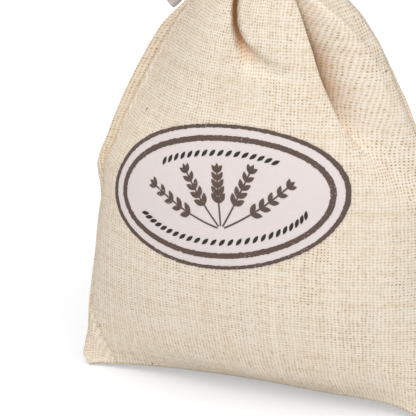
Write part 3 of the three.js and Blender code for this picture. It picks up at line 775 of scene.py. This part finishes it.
# %% A place on the cloth
def panel_record(points, flat, half_lengths, side):
    """What is known of one panel: its points, the way out of it at each point, and its flat places."""
    across_step, up_step = np.gradient(points, axis=1), np.gradient(points, axis=0)
    normals = np.cross(across_step, up_step) * -side
    normals /= np.maximum(np.linalg.norm(normals, axis=2, keepdims=True), 1e-9)
    return {"points": points, "normals": normals, "flat": flat,
            "half_lengths": half_lengths, "height": flat[-1, 0, 1]}


front = panel_record(front_points, front_flat, front_half_lengths, -1)
back = panel_record(back_points, back_flat, back_half_lengths, 1)


def cloth_at(panel, along, up, lift):
    """Points at a lift from a panel, given millimetres from its middle line and up from its bottom seam."""
    row = np.clip(up / panel["height"] * PANEL_ROWS, 0, PANEL_ROWS - 1e-6)
    across = along / np.interp(row, np.arange(PANEL_ROWS + 1), panel["half_lengths"])
    column = np.clip((across + 1) / 2 * PANEL_COLUMNS, 0, PANEL_COLUMNS - 1e-6)
    r, c = row.astype(int), column.astype(int)
    row_share, column_share = (row - r)[..., None], (column - c)[..., None]

    def looked_up(grid):
        low = grid[r, c] * (1 - column_share) + grid[r, c + 1] * column_share
        high = grid[r + 1, c] * (1 - column_share) + grid[r + 1, c + 1] * column_share
        return low * (1 - row_share) + high * row_share

    flat = looked_up(panel["flat"])
    return looked_up(panel["points"]) + looked_up(panel["normals"]) * np.asarray(lift)[..., None], flat


middle_point = cloth_at(front, np.array([0.0]), np.array([front["height"] / 2]), 0)[0]
print("middle of the front, in mm:", middle_point.round(1))

# %% [markdown]
# ## Printed label
# The label is a print: a pale oval ground with two inked lines, so thin that it takes the cloth's shape.
# It could be painted into the cloth's material.
# As pieces of their own, the ground and the lines can be reused or left off.
# Ink on a coarse weave has ragged edges, because it bridges some holes and misses others.

# %% Label materials
def make_print(name, colour, rub, worn_to):
    """Ink that lies on the weave. Rub is the share of it that has worn off the threads."""
    material, tree, shader = new_material(name)
    place, height, holes, _ = weave(tree)
    grain = calc(tree, "MULTIPLY_ADD", noise_at(tree, place, 9, 2), 0.4, noise_at(tree, place, 240, 3))
    worn = between(tree, calc(tree, "MULTIPLY_ADD", height, 0.1, grain), 0.96 - rub, 1.02 - rub)
    # Painted shade: the ink turns a little darker over the holes between the threads.
    inked = mixed(tree, calc(tree, "MULTIPLY", holes, 0.1), colour, HOLE_SHADE)
    tree.links.new(mixed(tree, worn, inked, worn_to), shader.inputs["Base Color"])
    shader.inputs["Roughness"].default_value = 0.8
    shader.inputs["Specular IOR Level"].default_value = 0.2
    bumped(tree, shader, height, 0.03 * MM)
    return material


GROUND_COLOUR = (0.82, 0.75, 0.745, 1)
INK_COLOUR = (0.125, 0.088, 0.076, 1)
DARK_INK_COLOUR = (0.04, 0.033, 0.032, 1)
pale_print = make_print("pale_print", GROUND_COLOUR, -0.2, THREAD)
taupe_ink = make_print("taupe_ink", INK_COLOUR, 0.03, (0.5, 0.42, 0.39, 1))
dark_ink = make_print("dark_ink", DARK_INK_COLOUR, 0.0, INK_COLOUR)
print("inks:", [ink.name for ink in (pale_print, taupe_ink, dark_ink)])

# %% Label ground and lines
LABEL_WIDTH = 52
LABEL_HEIGHT = 27.6
LABEL_RISE = 42.8
LABEL_SHIFT = -3.5
LABEL_TURN = math.radians(8)
LABEL_MIDDLE = (LABEL_HEIGHT / 2, LABEL_WIDTH / 2)
GROUND_EDGE = (0.2, 0.2)
OUTER_LINE = ((0, 0), (0.68, 1.05))
INNER_LINE = ((2.1, 2.7), (3.15, 3.9))
GROUND_LIFT = 0.08
LINE_LIFT = 0.12


def on_label(right, up, lift):
    """Points of the label, given millimetres right and up from its middle along the cloth."""
    along = LABEL_SHIFT + right * math.cos(LABEL_TURN) - up * math.sin(LABEL_TURN)
    rise = LABEL_RISE + right * math.sin(LABEL_TURN) + up * math.cos(LABEL_TURN)
    return cloth_at(front, along, rise, lift)


def oval_band(outer, inner, lift, columns, rows, rough, seed):
    """A band with ragged edges. Each edge is set in from the label's long sides and from its two ends."""
    angles = np.linspace(0, 2 * math.pi, columns + 1)

    def edge(set_in, seed):
        spots = [Vector((34 * math.cos(a), 20 * math.sin(a), seed)) for a in angles]
        ragged = np.array([noise.fractal(spot, 0.8, 2, 3) for spot in spots]) * rough
        ragged *= set_in != LABEL_MIDDLE
        return LABEL_WIDTH / 2 - set_in[1] - ragged, LABEL_HEIGHT / 2 - set_in[0] - ragged

    share = np.linspace(0, 1, rows + 1)[:, None]
    wide, narrow = (a * (1 - share) + b * share for a, b in zip(edge(outer, seed), edge(inner, seed + 9)))
    return on_label(wide * np.cos(angles), narrow * np.sin(angles), lift)


def print_piece(name, points, flat, material, slot, node):
    piece = finished_piece(name, grid_mesh(name, points, flat, closed=True), material, "pouch")
    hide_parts(node)
    return piece


ground_band = oval_band(GROUND_EDGE, LABEL_MIDDLE, GROUND_LIFT, columns=240, rows=36, rough=0.08, seed=1.0)
label_pieces = [print_piece("label_print", *ground_band, pale_print, "pale_print", "label_ground")]
for name, edges, seed in (("outer", OUTER_LINE, 2.0), ("inner", INNER_LINE, 3.0)):
    band = oval_band(*edges, LINE_LIFT, columns=720, rows=3, rough=0.13, seed=seed)
    ring_node = "label_" + name + "_ring"
    label_pieces.append(print_piece(name + "_line", *band, taupe_ink, "taupe_ink", ring_node))
print("label:", [piece.name for piece in label_pieces])

# %% [markdown]
# ## Lavender motif
# The middle of the label holds a plain motif: five sprigs with buds, and leaves that follow the oval.
# An image could hold it, but an image gets coarse when the camera comes near.
# So each bud is an almond that bends with the cloth: a small grid, like all that lies on the cloth.

# %% Buds, stems and leaves
STEM_WIDTH = 0.34
BUD_TURN = 0.62
LEAF_LENGTH = 1.9
LEAF_WIDTH = 0.75
LEAF_TURN = 0.7


def almond(right, up, length, width, turn):
    """Places on the label of one bud or leaf, in rows along it."""
    along = np.linspace(-1, 1, 7)[:, None] * np.ones(4)
    beside = np.ones(7)[:, None] * np.linspace(1, -1, 4) * (1 - along ** 2) * width / length
    x, y = along * length / 2, beside * length / 2
    return right + x * math.cos(turn) - y * math.sin(turn), up + x * math.sin(turn) + y * math.cos(turn)


def stem(start, bend, end, width):
    """Places of a thin curved strip."""
    share = np.linspace(0, 1, 15)[:, None]
    line = (1 - share) ** 2 * np.array(start)
    line = line + 2 * share * (1 - share) * np.array(bend) + share ** 2 * np.array(end)
    heading = np.gradient(line, axis=0)
    heading /= np.linalg.norm(heading, axis=1, keepdims=True)
    left = np.stack([-heading[:, 1], heading[:, 0]], axis=1) * width / 2
    places = np.stack([line + left, line - left], axis=1)
    return (places[..., 0], places[..., 1]), line, np.arctan2(heading[:, 1], heading[:, 0])


def sprig(start, bend, end):
    """Shapes of one sprig: its stem, pairs of buds on the upper half, and a bud at the tip."""
    strip, line, headings = stem(start, bend, end, STEM_WIDTH)
    shapes = [strip]
    for k in range(6, 15, 2):
        size = 1.25 - 0.03 * k
        for turn in (BUD_TURN, -BUD_TURN):
            way = headings[k] + turn
            middle = line[k] + 1.15 * size * np.array([math.cos(way), math.sin(way)])
            shapes.append(almond(middle[0], middle[1], 2.3 * size, 1.05 * size, way))
    tip = line[-1] + 0.9 * np.array([math.cos(headings[-1]), math.sin(headings[-1])])
    shapes.append(almond(tip[0], tip[1], 2.1, 0.9, headings[-1]))
    return shapes


def leaf_row(start_deg, end_deg, count, wide, narrow):
    """Slanted leaves along part of an oval that is given by its half-width and half-height."""
    shapes = []
    for angle in np.radians(np.linspace(start_deg, end_deg, count)):
        right, up = wide * math.cos(angle), narrow * math.sin(angle)
        tangent = math.atan2(narrow * math.cos(angle), -wide * math.sin(angle))
        shapes.append(almond(right, up, LEAF_LENGTH, LEAF_WIDTH, tangent + LEAF_TURN))
    return shapes


print("one sprig has", len(sprig((0, 0), (0, 5), (0, 10))), "shapes")

# %% Lavender motif
MOTIF_LIFT = 0.14


def joined_grids(name, grids, turned=False):
    """One mesh of many small grids."""
    shape = bmesh.new()
    flat_layer = shape.loops.layers.uv.new("cloth")
    for points, flat in grids:
        add_grid(shape, flat_layer, points, flat)
    if turned:
        bmesh.ops.reverse_faces(shape, faces=shape.faces)
    mesh = bpy.data.meshes.new(name)
    shape.to_mesh(mesh)
    shape.free()
    print(name, "has", len(grids), "shapes")
    return mesh


def motif_piece(name, shapes, material):
    """One flat piece of ink, from places on the label."""
    mesh = joined_grids(name, [on_label(right, up, MOTIF_LIFT) for right, up in shapes])
    finished_piece(name, mesh, material, "pouch")


SPRIG_FOOT = np.array([0, -6.2])
sprigs = []
for angle_deg, length in ((90, 10.8), (58, 12.6), (122, 12.6), (29, 16), (151, 16)):
    way = np.array([math.cos(math.radians(angle_deg)), math.sin(math.radians(angle_deg))])
    foot, tip = SPRIG_FOOT + 0.8 * way, SPRIG_FOOT + length * way
    sprigs += sprig(foot, (foot + tip) / 2 - [0, 0.09 * abs(tip[0])], tip)
motif_piece("label_sprigs", sprigs, taupe_ink)
upper_leaves = leaf_row(130, 50, 16, 18.6, 8.4)
lower_leaves = leaf_row(206, 334, 25, 19.2, 8.6)
motif_piece("label_leaves", upper_leaves + lower_leaves, dark_ink)

# %% [markdown]
# ## Side seams
# The two panels are sewn together along their sides, and the sewn edge stands out as a narrow flat strip.
# The strip is a closed ring of points that follows the seam.
# Thread pulls it in at every stitch, so it is never quite straight.

# %% Side seams
SEAM_START = 4
SEAM_THICKNESS = 1.0
LEFT_STRIP_LOW_WIDTH = 0.9
LEFT_STRIP_GAIN = 1.5
LEFT_STRIP_LOSS = 1.6
RIGHT_STRIP_WIDTH = 0.7
RIGHT_STRIP_LOSS = 0.85
RIGHT_STRIP_BACK = 0.4
STRIP_TUCK = {-1: 0.3, 1: 0.4}
STRIP_RISE = 9
STRIP_END = SEAM_END + 1.8
STRIP_SIDES = 19
STITCH_PITCH = 1.42
seam_samples = np.array([seam_line(place) for place in np.linspace(0, 1, LINE_SAMPLES)])
strip_heights = np.linspace(SEAM_START, STRIP_END, 181)


def strip_width(side):
    """Width of a strip at each of its heights. The left one widens where it stands off the filling."""
    if side < 0:
        width = LEFT_STRIP_LOW_WIDTH + LEFT_STRIP_GAIN * ramp(strip_heights, 32, 44)
        width = width - LEFT_STRIP_LOSS * ramp(strip_heights, 68, STRIP_END)
    else:
        width = RIGHT_STRIP_WIDTH * (1 - RIGHT_STRIP_LOSS * ramp(strip_heights, 60, SEAM_END - 2))
    return width * (0.1 + 0.9 * ramp(strip_heights, SEAM_START, SEAM_START + STRIP_RISE))


def seam_strip(side):
    """Points of a strip outside the panels' edge. The right one is turned back."""
    x = np.interp(strip_heights, seam_samples[:, 2], seam_samples[:, 0]) + seam_shift(side, strip_heights)
    y = np.interp(strip_heights, seam_samples[:, 2], seam_samples[:, 1]) + NECK_Y / MM
    if side > 0:
        y = y + RIGHT_STRIP_BACK + seam_back(side, strip_heights)
    width = strip_width(side)
    around = np.linspace(0, 2 * math.pi, STRIP_SIDES)
    flatness = np.abs(np.cos(around)) ** 5 + np.abs(np.sin(around)) ** 5
    round_x, round_y = np.cos(around) / flatness ** 0.2, np.sin(around) / flatness ** 0.2
    points = np.zeros((len(strip_heights), STRIP_SIDES, 3))
    flat = np.zeros((len(strip_heights), STRIP_SIDES, 2))
    for k, z in enumerate(strip_heights):
        pull = 0.5 + 0.5 * math.cos(2 * math.pi * z / STITCH_PITCH)
        wave = noise.noise(Vector((z / 3.1, 1.7 * side, 0)))
        half = width[k] / 2 + 0.12 * wave
        thickness = min(SEAM_THICKNESS, width[k]) * (0.92 + 0.08 * pull)
        middle = side * (x[k] + width[k] / 2 - STRIP_TUCK[side])
        points[k, :, 0] = middle + round_x * half
        points[k, :, 1] = y[k] + 0.22 * wave + round_y * thickness / 2
        points[k, :, 2] = z
        flat[k, :, 0] = around / math.pi * (width[k] + SEAM_THICKNESS)
        flat[k, :, 1] = z
    return points, flat


for side, name in ((-1, "left"), (1, "right")):
    mesh = grid_mesh(name + "_seam_strip", *seam_strip(side), closed=True, capped=True)
    strip = finished_piece(name + "_seam_strip", mesh, turned_muslin, "pouch")
    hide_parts(name + "_side_seam")
    print(strip.name, "has", len(strip.data.polygons), "faces")

# %% [markdown]
# ## Stitches
# A row of short stitches runs beside the left edge, on both panels.
# They could be drawn by the cloth's material, but thread that stands off the cloth catches the light.
# So each is a small grid that is high in its middle and dips into the cloth at its ends, as thread does.

# %% Stitches
STITCH_LENGTH = 0.8
STITCH_WIDTH = 0.3
STITCH_INSET = 0.8
STITCH_LIFT = 0.16
SEWING_THREAD = (0.72, 0.6, 0.47, 1)


def stitches(panel):
    """Short thread marks along the left edge of a panel."""
    shapes = []
    along = np.linspace(-1, 1, 5)[:, None] * np.ones(3)
    beside = np.ones(5)[:, None] * np.linspace(-1, 1, 3)
    lift = STITCH_LIFT - 0.1 * beside ** 2 - 0.12 * along ** 2
    edge_heights = panel["points"][:, 0, 2]
    rows = np.arange(PANEL_ROWS + 1) / PANEL_ROWS * panel["height"]
    for z in np.arange(SEAM_START + 3, SEAM_END - 1, STITCH_PITCH):
        up = float(np.interp(z, edge_heights, rows))
        half = float(np.interp(up, rows, panel["half_lengths"]))
        across = STITCH_INSET - half + beside * STITCH_WIDTH / 2 * (1 - 0.6 * along ** 2)
        shapes.append(cloth_at(panel, across, up + along * STITCH_LENGTH / 2, lift))
    return shapes


thread, _, shader = new_material("sewing_thread")
shader.inputs["Base Color"].default_value = SEWING_THREAD
shader.inputs["Roughness"].default_value = 0.8
for panel, name in ((front, "front_stitches"), (back, "back_stitches")):
    stitch_mesh = joined_grids(name, stitches(panel), turned=panel is back)
    finished_piece(name, stitch_mesh, thread, "pouch")

# %% [markdown]
# ## Hems in the neck
# The top of each panel is turned in and sewn down, and the ribbon runs through that hem.
# Drawn together, the two hems bunch up into tight folds that close the neck.
# They could be the panels' own grids, folded over, but as two bands they stay simple and can be left off.

# %% Hems in the neck
HEM_BOTTOM = 81
HEM_TOP = 89
BUNCH_HALF_WIDTH = 5.0
BUNCH_HALF_DEPTH = 3.6
HEM_FOLDS = 9
HEM_FOLD_MIDDLE = 0.62
HEM_FOLD_SWING = 0.34
HEM_GAP = 0.3
HEM_COLUMNS = 216
HEM_ROWS = 16
HEM_THICKNESS = 0.25


def hem(side):
    """A band in tight folds, from the left end of the neck to its right end."""
    across = np.linspace(-1, 1, HEM_COLUMNS + 1)
    heights = np.linspace(HEM_BOTTOM, HEM_TOP, HEM_ROWS + 1)
    points = np.zeros((HEM_ROWS + 1, HEM_COLUMNS + 1, 3))
    flat = np.zeros((HEM_ROWS + 1, HEM_COLUMNS + 1, 2))
    for k, z in enumerate(heights):
        loosened = 1 - 0.2 * ramp(abs(z - (HEM_BOTTOM + HEM_TOP) / 2), 0, 4)
        fold = HEM_FOLD_MIDDLE + HEM_FOLD_SWING * np.cos(2 * math.pi * HEM_FOLDS * across) * loosened
        angle = across * math.pi / 2
        points[k, :, 0] = BUNCH_HALF_WIDTH * np.sin(angle) * fold
        points[k, :, 1] = side * (HEM_GAP + BUNCH_HALF_DEPTH * np.cos(angle) * fold) + NECK_Y / MM
        points[k, :, 2] = z
        flat[k, :, 0] = across * CLOTH_WIDTH / 2
        flat[k, :, 1] = z
    return points, flat


for side, name in ((-1, "front"), (1, "back")):
    mesh = grid_mesh(name + "_hem", *hem(side), turned=side > 0)
    band = finished_piece(name + "_hem", mesh, turned_muslin, "pouch")
    thicken(band, HEM_THICKNESS)
    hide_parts(name + "_casing")
    print(band.name, "has", HEM_FOLDS, "folds")

# %% [markdown]
# ## Lavender filling
# The filling never shows, but it is what the pouch is for: a heap of small dry buds.
# Thousands of buds could be scattered in the pouch, but the cloth would hide every one of them.
# One closed, bumpy mass stands for all of them, and it presses the cloth out.

# %% Lavender filling
FILL_INSET = 2.0
FILL_FLOOR = 1.5
FILL_SPAN = (0.15, 0.62)
FILL_COLUMNS = 60
FILL_ROWS = 48
FILL_CROWN = 4
CLOSING_SHARES = (0.001, 0.35, 0.7)
BUD_BUMP = 0.5
BUD_SIZE = 1.6


def drawn_in(ring, share):
    """A ring of points, drawn in to a share of its size about its middle."""
    middle = ring.mean(axis=0)
    return middle + (ring - middle) * share


def filling():
    """Rings of points just inside the cloth, closed below and crowned above."""
    around = np.linspace(-1, 1, FILL_COLUMNS + 1)
    rows = []
    for place in np.linspace(*FILL_SPAN, FILL_ROWS + 1):
        front_half, half_length = rib(-1, place, around, FILL_INSET)
        front_half, _ = fold_in(front_half, around, half_length, FRONT_PLEATS)
        back_half, half_length = rib(1, place, around[::-1], FILL_INSET)
        back_half, _ = fold_in(back_half, around[::-1], half_length, BACK_PLEATS)
        rows.append(np.vstack([front_half[:-1], back_half]))
    bottom = [drawn_in(rows[0], share) for share in CLOSING_SHARES]
    top = []
    for share in CLOSING_SHARES[::-1]:
        top.append(drawn_in(rows[-1], share) + [0, 0, FILL_CROWN * (1 - share ** 2)])
    points = np.array(bottom + rows + top)
    for row in points:
        for point in row:
            bump = BUD_BUMP * noise.noise(Vector(point) / BUD_SIZE) - BUD_BUMP
            point += np.array([point[0], point[1], 0]) / max(10.0, math.hypot(point[0], point[1])) * bump
    points[:, :, 2] = np.maximum(points[:, :, 2], FILL_FLOOR)
    points[:, :, 1] += NECK_Y / MM
    return points, np.zeros(points.shape[:2] + (2,))


fill_points, fill_flat = filling()
print("filling is", round(float(np.ptp(fill_points[:, :, 2]))), "mm high")

# %% Lavender buds
VIOLET = (0.2, 0.16, 0.28, 1)
GREY = (0.34, 0.31, 0.3, 1)
BUDS_PER_METRE = 420
buds, tree, shader = new_material("dried_lavender")
coords = tree.nodes.new("ShaderNodeTexCoord").outputs["Object"]
cells = tree.nodes.new("ShaderNodeTexVoronoi")
cells.inputs["Scale"].default_value = BUDS_PER_METRE
tree.links.new(coords, cells.inputs["Vector"])
faded = between(tree, noise_at(tree, coords, 300, 3), 0.35, 0.65)
tree.links.new(mixed(tree, faded, VIOLET, GREY), shader.inputs["Base Color"])
shader.inputs["Roughness"].default_value = 1.0
bumped(tree, shader, calc(tree, "SUBTRACT", 1.0, cells.outputs["Distance"]), 0.5 * MM)
mesh = grid_mesh("lavender_buds", fill_points, fill_flat, closed=True, capped=True)
lavender = finished_piece("lavender_buds", mesh, buds, "pouch")
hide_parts("lavender_filling")
print(lavender.name, "has", len(mesh.polygons), "faces")

# %% [markdown]
# ## Satin
# The ribbon is satin: its threads lie side by side on its face, so it is smooth and shines softly.
# An image could show them, but at this size fine ribs across the ribbon and a little sheen are enough.
# The drawstring in the neck is hardly seen, so it stays the plain solid and only gets the satin.

# %% Satin
RIB_PITCH = 0.22
SATIN_SHADE = (0.64, 0.57, 0.53, 1)
SATIN_LIGHT = (0.77, 0.7, 0.66, 1)
satin, tree, shader = new_material("taupe_satin")
place, _, up = flat_map(tree)
ribs = calc(tree, "SINE", calc(tree, "MULTIPLY", up, 2 * math.pi / RIB_PITCH))
tone = between(tree, noise_at(tree, place, 40, 2), 0.3, 0.7)
tree.links.new(mixed(tree, tone, SATIN_SHADE, SATIN_LIGHT), shader.inputs["Base Color"])
shader.inputs["Roughness"].default_value = 0.3
shader.inputs["Specular IOR Level"].default_value = 0.5
shader.inputs["Sheen Weight"].default_value = 0.3
bumped(tree, shader, ribs, 0.02 * MM)
for piece in [o for o in bpy.context.scene.objects if o.name == "drawstring"]:
    piece.data.materials.clear()
    piece.data.materials.append(satin)
    print(piece.name, "is shown in", satin.name)

# %% [markdown]
# ## Ribbon
# A ribbon is a strip that keeps its width.
# It could be a curve with a flat bevel, but such a curve chooses its own twist.
# So it is a grid that follows a line, with a direction for its width at each point.
# The two ends of the drawstring leave the neck at the left seam and are tied in a bow.
# Each goes into the knot, makes a loop, comes back through the knot and hangs down as a tail.

# %% Ribbon path helpers
LOOP_START = 3.0
LOOP_HALF = [(0, 0.55), (9.5, 4.15), (19, 3.4), (19, 0)]
KNOT_MIDDLE = np.array([-13.6, NECK_Y / MM, NECK_HEIGHT])
UP = np.array([0.0, 0, 1])


def bezier(controls, count):
    """Points of a curve from the first control to the last, drawn towards the two between them."""
    share = np.linspace(0, 1, count)[:, None]
    rest = 1 - share
    a, b, c, d = (np.array(point, float) for point in controls)
    return rest ** 3 * a + 3 * share * rest ** 2 * b + 3 * share ** 2 * rest * c + share ** 3 * d


def loop_line(heading_deg, droop_deg, start_side):
    """Middle line and width direction of one loop of the bow, from the knot out and back."""
    heading, droop = math.radians(heading_deg), math.radians(droop_deg)
    level = math.cos(droop)
    out = np.array([math.cos(heading) * level, math.sin(heading) * level, -math.sin(droop)])
    beside = np.array([-math.sin(heading), math.cos(heading), 0]) * start_side
    width_way = np.cross(out, beside) * start_side
    there = bezier(LOOP_HALF, 24)
    back_again = there[::-1] * [1, -1]
    flat = np.vstack([there, back_again[1:]])
    line = KNOT_MIDDLE + out * LOOP_START + flat[:, :1] * out + flat[:, 1:] * beside
    return line, np.tile(width_way, (len(line), 1))


def tail_line(root, heading_deg, out, drop, bend, end_way=None):
    """Middle line and width direction of one tail. Bend is the share of its reach and of its fall."""
    heading = math.radians(heading_deg)
    way = np.array([math.cos(heading), math.sin(heading), 0])
    share = np.linspace(0, 1, 16)[:, None]
    outward = 2 * share * (1 - share) * bend[0] * out + share ** 2 * out
    fall = 2 * share * (1 - share) * bend[1] * drop + share ** 2 * drop
    line = KNOT_MIDDLE + np.array(root) + outward * way - fall * UP
    side_way = np.cross(UP, way)
    last_way = np.array(end_way) if end_way else side_way
    return line, side_way + share ** 1.5 * (last_way - side_way)


print("one loop reaches", LOOP_START + LOOP_HALF[-1][0], "mm from the middle of the knot")

# %% Ribbon strip
RIBBON_WIDTH = 3.0
RIBBON_THICKNESS = 0.3
RIBBON_CURL = 0.22
RIBBON_COLUMNS = 12
RIBBON_SPACING = 0.35
RUN = ((-9.4, 1), (-11, 1), (-12.6, 0.8))
THROUGH_KNOT = (0, 0, -0.6)
BLEND_FROM = Vector((-10.6, NECK_Y / MM, 85)) * MM
BLEND_TO = Vector((-12.2, NECK_Y / MM, 85)) * MM


def ribbon_strip(line, width_ways):
    """Even points along a line, and the grid of the strip that follows it."""
    climbed = np.concatenate([[0], np.cumsum(np.linalg.norm(np.diff(line, axis=0), axis=1))])
    even = np.linspace(0, climbed[-1], int(climbed[-1] / RIBBON_SPACING) + 1)
    path = np.stack([np.interp(even, climbed, line[:, k]) for k in range(3)], axis=1)
    for _ in range(3):
        path[1:-1] = (path[:-2] + 2 * path[1:-1] + path[2:]) / 4
    ways = np.stack([np.interp(even, climbed, width_ways[:, k]) for k in range(3)], axis=1)
    heading = np.gradient(path, axis=0)
    heading /= np.linalg.norm(heading, axis=1, keepdims=True)
    ways -= heading * np.sum(ways * heading, axis=1, keepdims=True)
    ways /= np.linalg.norm(ways, axis=1, keepdims=True)
    beside = np.linspace(-0.5, 0.5, RIBBON_COLUMNS + 1) * RIBBON_WIDTH
    curl = RIBBON_CURL * np.sin(2 * math.pi * beside / RIBBON_WIDTH)
    points = path[:, None, :] + ways[:, None, :] * beside[None, :, None]
    points += np.cross(heading, ways)[:, None, :] * curl[None, :, None]
    flat = np.stack(np.broadcast_arrays(beside[None, :], even[:, None]), axis=-1)
    return path, points, flat


def ribbon(name, start_y, loop, tail):
    """One ribbon end: out of the neck, through the knot, round a loop, through the knot again and down."""
    run = np.array([[x, share * start_y, 0] for x, share in RUN])
    run += [0, NECK_Y / MM, NECK_HEIGHT]
    loop_points, loop_ways = loop
    tail_points, tail_ways = tail
    line = np.vstack([run, loop_points, KNOT_MIDDLE + THROUGH_KNOT, tail_points])
    ways = np.vstack([np.tile(UP, (3, 1)), loop_ways, (loop_ways[-1:] + tail_ways[:1]) / 2, tail_ways])
    path, points, flat = ribbon_strip(line, ways)
    piece = finished_piece(name, grid_mesh(name, points, flat), satin, None)
    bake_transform(piece, "pouch", "bow", BLEND_FROM, BLEND_TO)
    thicken(piece, RIBBON_THICKNESS, 0)
    length = float(np.sum(np.linalg.norm(np.diff(path, axis=0), axis=1)))
    print(name, "is", round(length), "mm long")
    return piece, path, length


# %% [markdown]
# ## Knot
# In the knot, one ribbon is wound tightly round the other.
# It could be tied from the strips themselves, but so small a knot shows only its round outside.
# So it is a short bundle with the slanted ridge of the wound ribbon on it.

# %% Knot
KNOT_RADIUS = 2.05
KNOT_HALF_LENGTH = 2.15
KNOT_HALF_GIRTH = 6
KNOT_ROWS = 40
KNOT_COLUMNS = 48
WRAP_HEIGHT = 0.13
WRAP_SINK = 0.1


def knot_grid():
    """Points of the bundle, in rings from its left end to its right end."""
    around = np.linspace(0, 2 * math.pi, KNOT_COLUMNS + 1)
    points = np.zeros((KNOT_ROWS + 1, KNOT_COLUMNS + 1, 3))
    flat = np.zeros((KNOT_ROWS + 1, KNOT_COLUMNS + 1, 2))
    for k, share in enumerate(np.linspace(-1, 1, KNOT_ROWS + 1)):
        radius = KNOT_RADIUS * max(0.02, 1 - abs(share) ** 3) ** 0.5
        wrap = WRAP_HEIGHT * np.abs(np.cos(math.pi * (share * 1.5 + around / (2 * math.pi))))
        points[k, :, 0] = share * KNOT_HALF_LENGTH
        points[k, :, 1] = np.cos(around) * (radius + wrap - WRAP_SINK)
        points[k, :, 2] = np.sin(around) * (radius + wrap - WRAP_SINK)
        flat[k, :, 0] = around / math.pi * KNOT_HALF_GIRTH
        flat[k, :, 1] = share * KNOT_HALF_LENGTH
    return points + KNOT_MIDDLE, flat


mesh = grid_mesh("ribbon_knot", *knot_grid(), closed=True, capped=True)
knot_piece = finished_piece("ribbon_knot", mesh, satin, "bow")
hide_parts("bow_knot")
print(knot_piece.name, "has", len(mesh.polygons), "faces")

# %% Two ribbon ends
RUN_Y = 0.55
front_loop = loop_line(heading_deg=230, droop_deg=9, start_side=1)
back_loop = loop_line(heading_deg=130, droop_deg=9, start_side=-1)
outer_tail = tail_line((-2.2, 0, -2.4), 180, out=6.4, drop=9.7, bend=(0.2, 0.6),
                       end_way=(-0.8, -0.39, 0.42))
back_tail = tail_line((1.1, 0, -2.4), 108, out=12, drop=9, bend=(0.6, 0.25))
front_ribbon, front_path, front_length = ribbon("front_ribbon", -RUN_Y, front_loop, outer_tail)
back_ribbon, back_path, back_length = ribbon("back_ribbon", RUN_Y, back_loop, back_tail)
for piece, path, length, nodes in (
    (front_ribbon, front_path, front_length, ("front_bow_loop", "outer_bow_tail")),
    (back_ribbon, back_path, back_length, ("back_bow_loop", "back_bow_tail")),
):
    for node in nodes:
        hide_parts(node)

# %% [markdown]
# ## Floor and light
# The photo has a white ground and a faint shadow at the pouch's foot.
# A light from the upper left shows the folds, a wide one in front softens them, and one overhead
# makes the shadow. The world and the floor are bright for the camera and dimmer for the cloth.
# The floor's glow for the camera is weaker near the pouch's foot: a painted shadow round it.

# %% Lights
LAMP_WHITE = (1, 0.985, 0.97)
for name, way, power, size in (
    ("key light", picture_up * 0.6 - picture_right * 0.35 - ahead * 0.55, 2.3, 0.4),
    ("front light", picture_right * 0.1 + picture_up * 0.12 - ahead * 0.85, 2.65, 0.6),
    ("overhead light", straight_up * 0.85, 3.5, 0.6),
):
    lamp = bpy.data.lights.new(name, "AREA")
    lamp.energy = power
    lamp.size = size
    lamp.color = LAMP_WHITE
    light = bpy.data.objects.new(name, lamp)
    light.location = aim + way
    light.rotation_euler = (aim - light.location).to_track_quat("-Z", "Y").to_euler()
    bpy.context.scene.collection.objects.link(light)

# %% World
CLOTH_SKY = (1, 0.95, 0.89, 1)
CLOTH_SKY_STRENGTH = 0.22


def seen_by_camera(tree):
    """1 for what the camera sees, also in a reflection, and 0 for light that falls on the part."""
    rays = tree.nodes.new("ShaderNodeLightPath")
    return calc(tree, "MAXIMUM", rays.outputs["Is Camera Ray"], rays.outputs["Is Glossy Ray"])


world = bpy.data.worlds.new("studio")
bpy.context.scene.world = world
world.use_nodes = True
tree = world.node_tree
sky = tree.nodes["Background"].inputs
seen = seen_by_camera(tree)
tree.links.new(between(tree, seen, 0, 1, CLOTH_SKY_STRENGTH, 1.0), sky["Strength"])
tree.links.new(mixed(tree, seen, CLOTH_SKY, (1, 1, 1, 1)), sky["Color"])
print("world:", world.name)

# %% Floor
FLOOR_HALF_SIZE = 3
FLOOR_FOR_CLOTH = (0.85, 0.86, 0.88, 1)
FLOOR_FOR_CAMERA = (0.62, 0.64, 0.67, 1)
floor_shape = bmesh.new()
bmesh.ops.create_grid(floor_shape, x_segments=1, y_segments=1, size=FLOOR_HALF_SIZE)
floor_mesh = bpy.data.meshes.new("floor")
floor_shape.to_mesh(floor_mesh)
floor_shape.free()
floor = bpy.data.objects.new("floor", floor_mesh)
bpy.context.scene.collection.objects.link(floor)
white, tree, shader = new_material("white floor")
seen = seen_by_camera(tree)
tree.links.new(mixed(tree, seen, FLOOR_FOR_CLOTH, FLOOR_FOR_CAMERA), shader.inputs["Base Color"])
shader.inputs["Roughness"].default_value = 1.0
shader.inputs["Specular IOR Level"].default_value = 0
shader.inputs["Emission Color"].default_value = (1, 1, 1, 1)
# Painted shadow: for the camera the floor glows less near the pouch's foot than further out, so the ground
# darkens round the foot.
distance = tree.nodes.new("ShaderNodeVectorMath")
distance.operation = "LENGTH"
tree.links.new(tree.nodes.new("ShaderNodeTexCoord").outputs["Object"], distance.inputs[0])
painted_shadow_glow = between(tree, distance.outputs["Value"], 0.045, 0.16, 0.41, 0.68)
tree.links.new(calc(tree, "MULTIPLY", seen, painted_shadow_glow), shader.inputs["Emission Strength"])
floor.data.materials.append(white)
bpy.context.scene.view_settings.view_transform = "Standard"
print("floor:", floor.name)
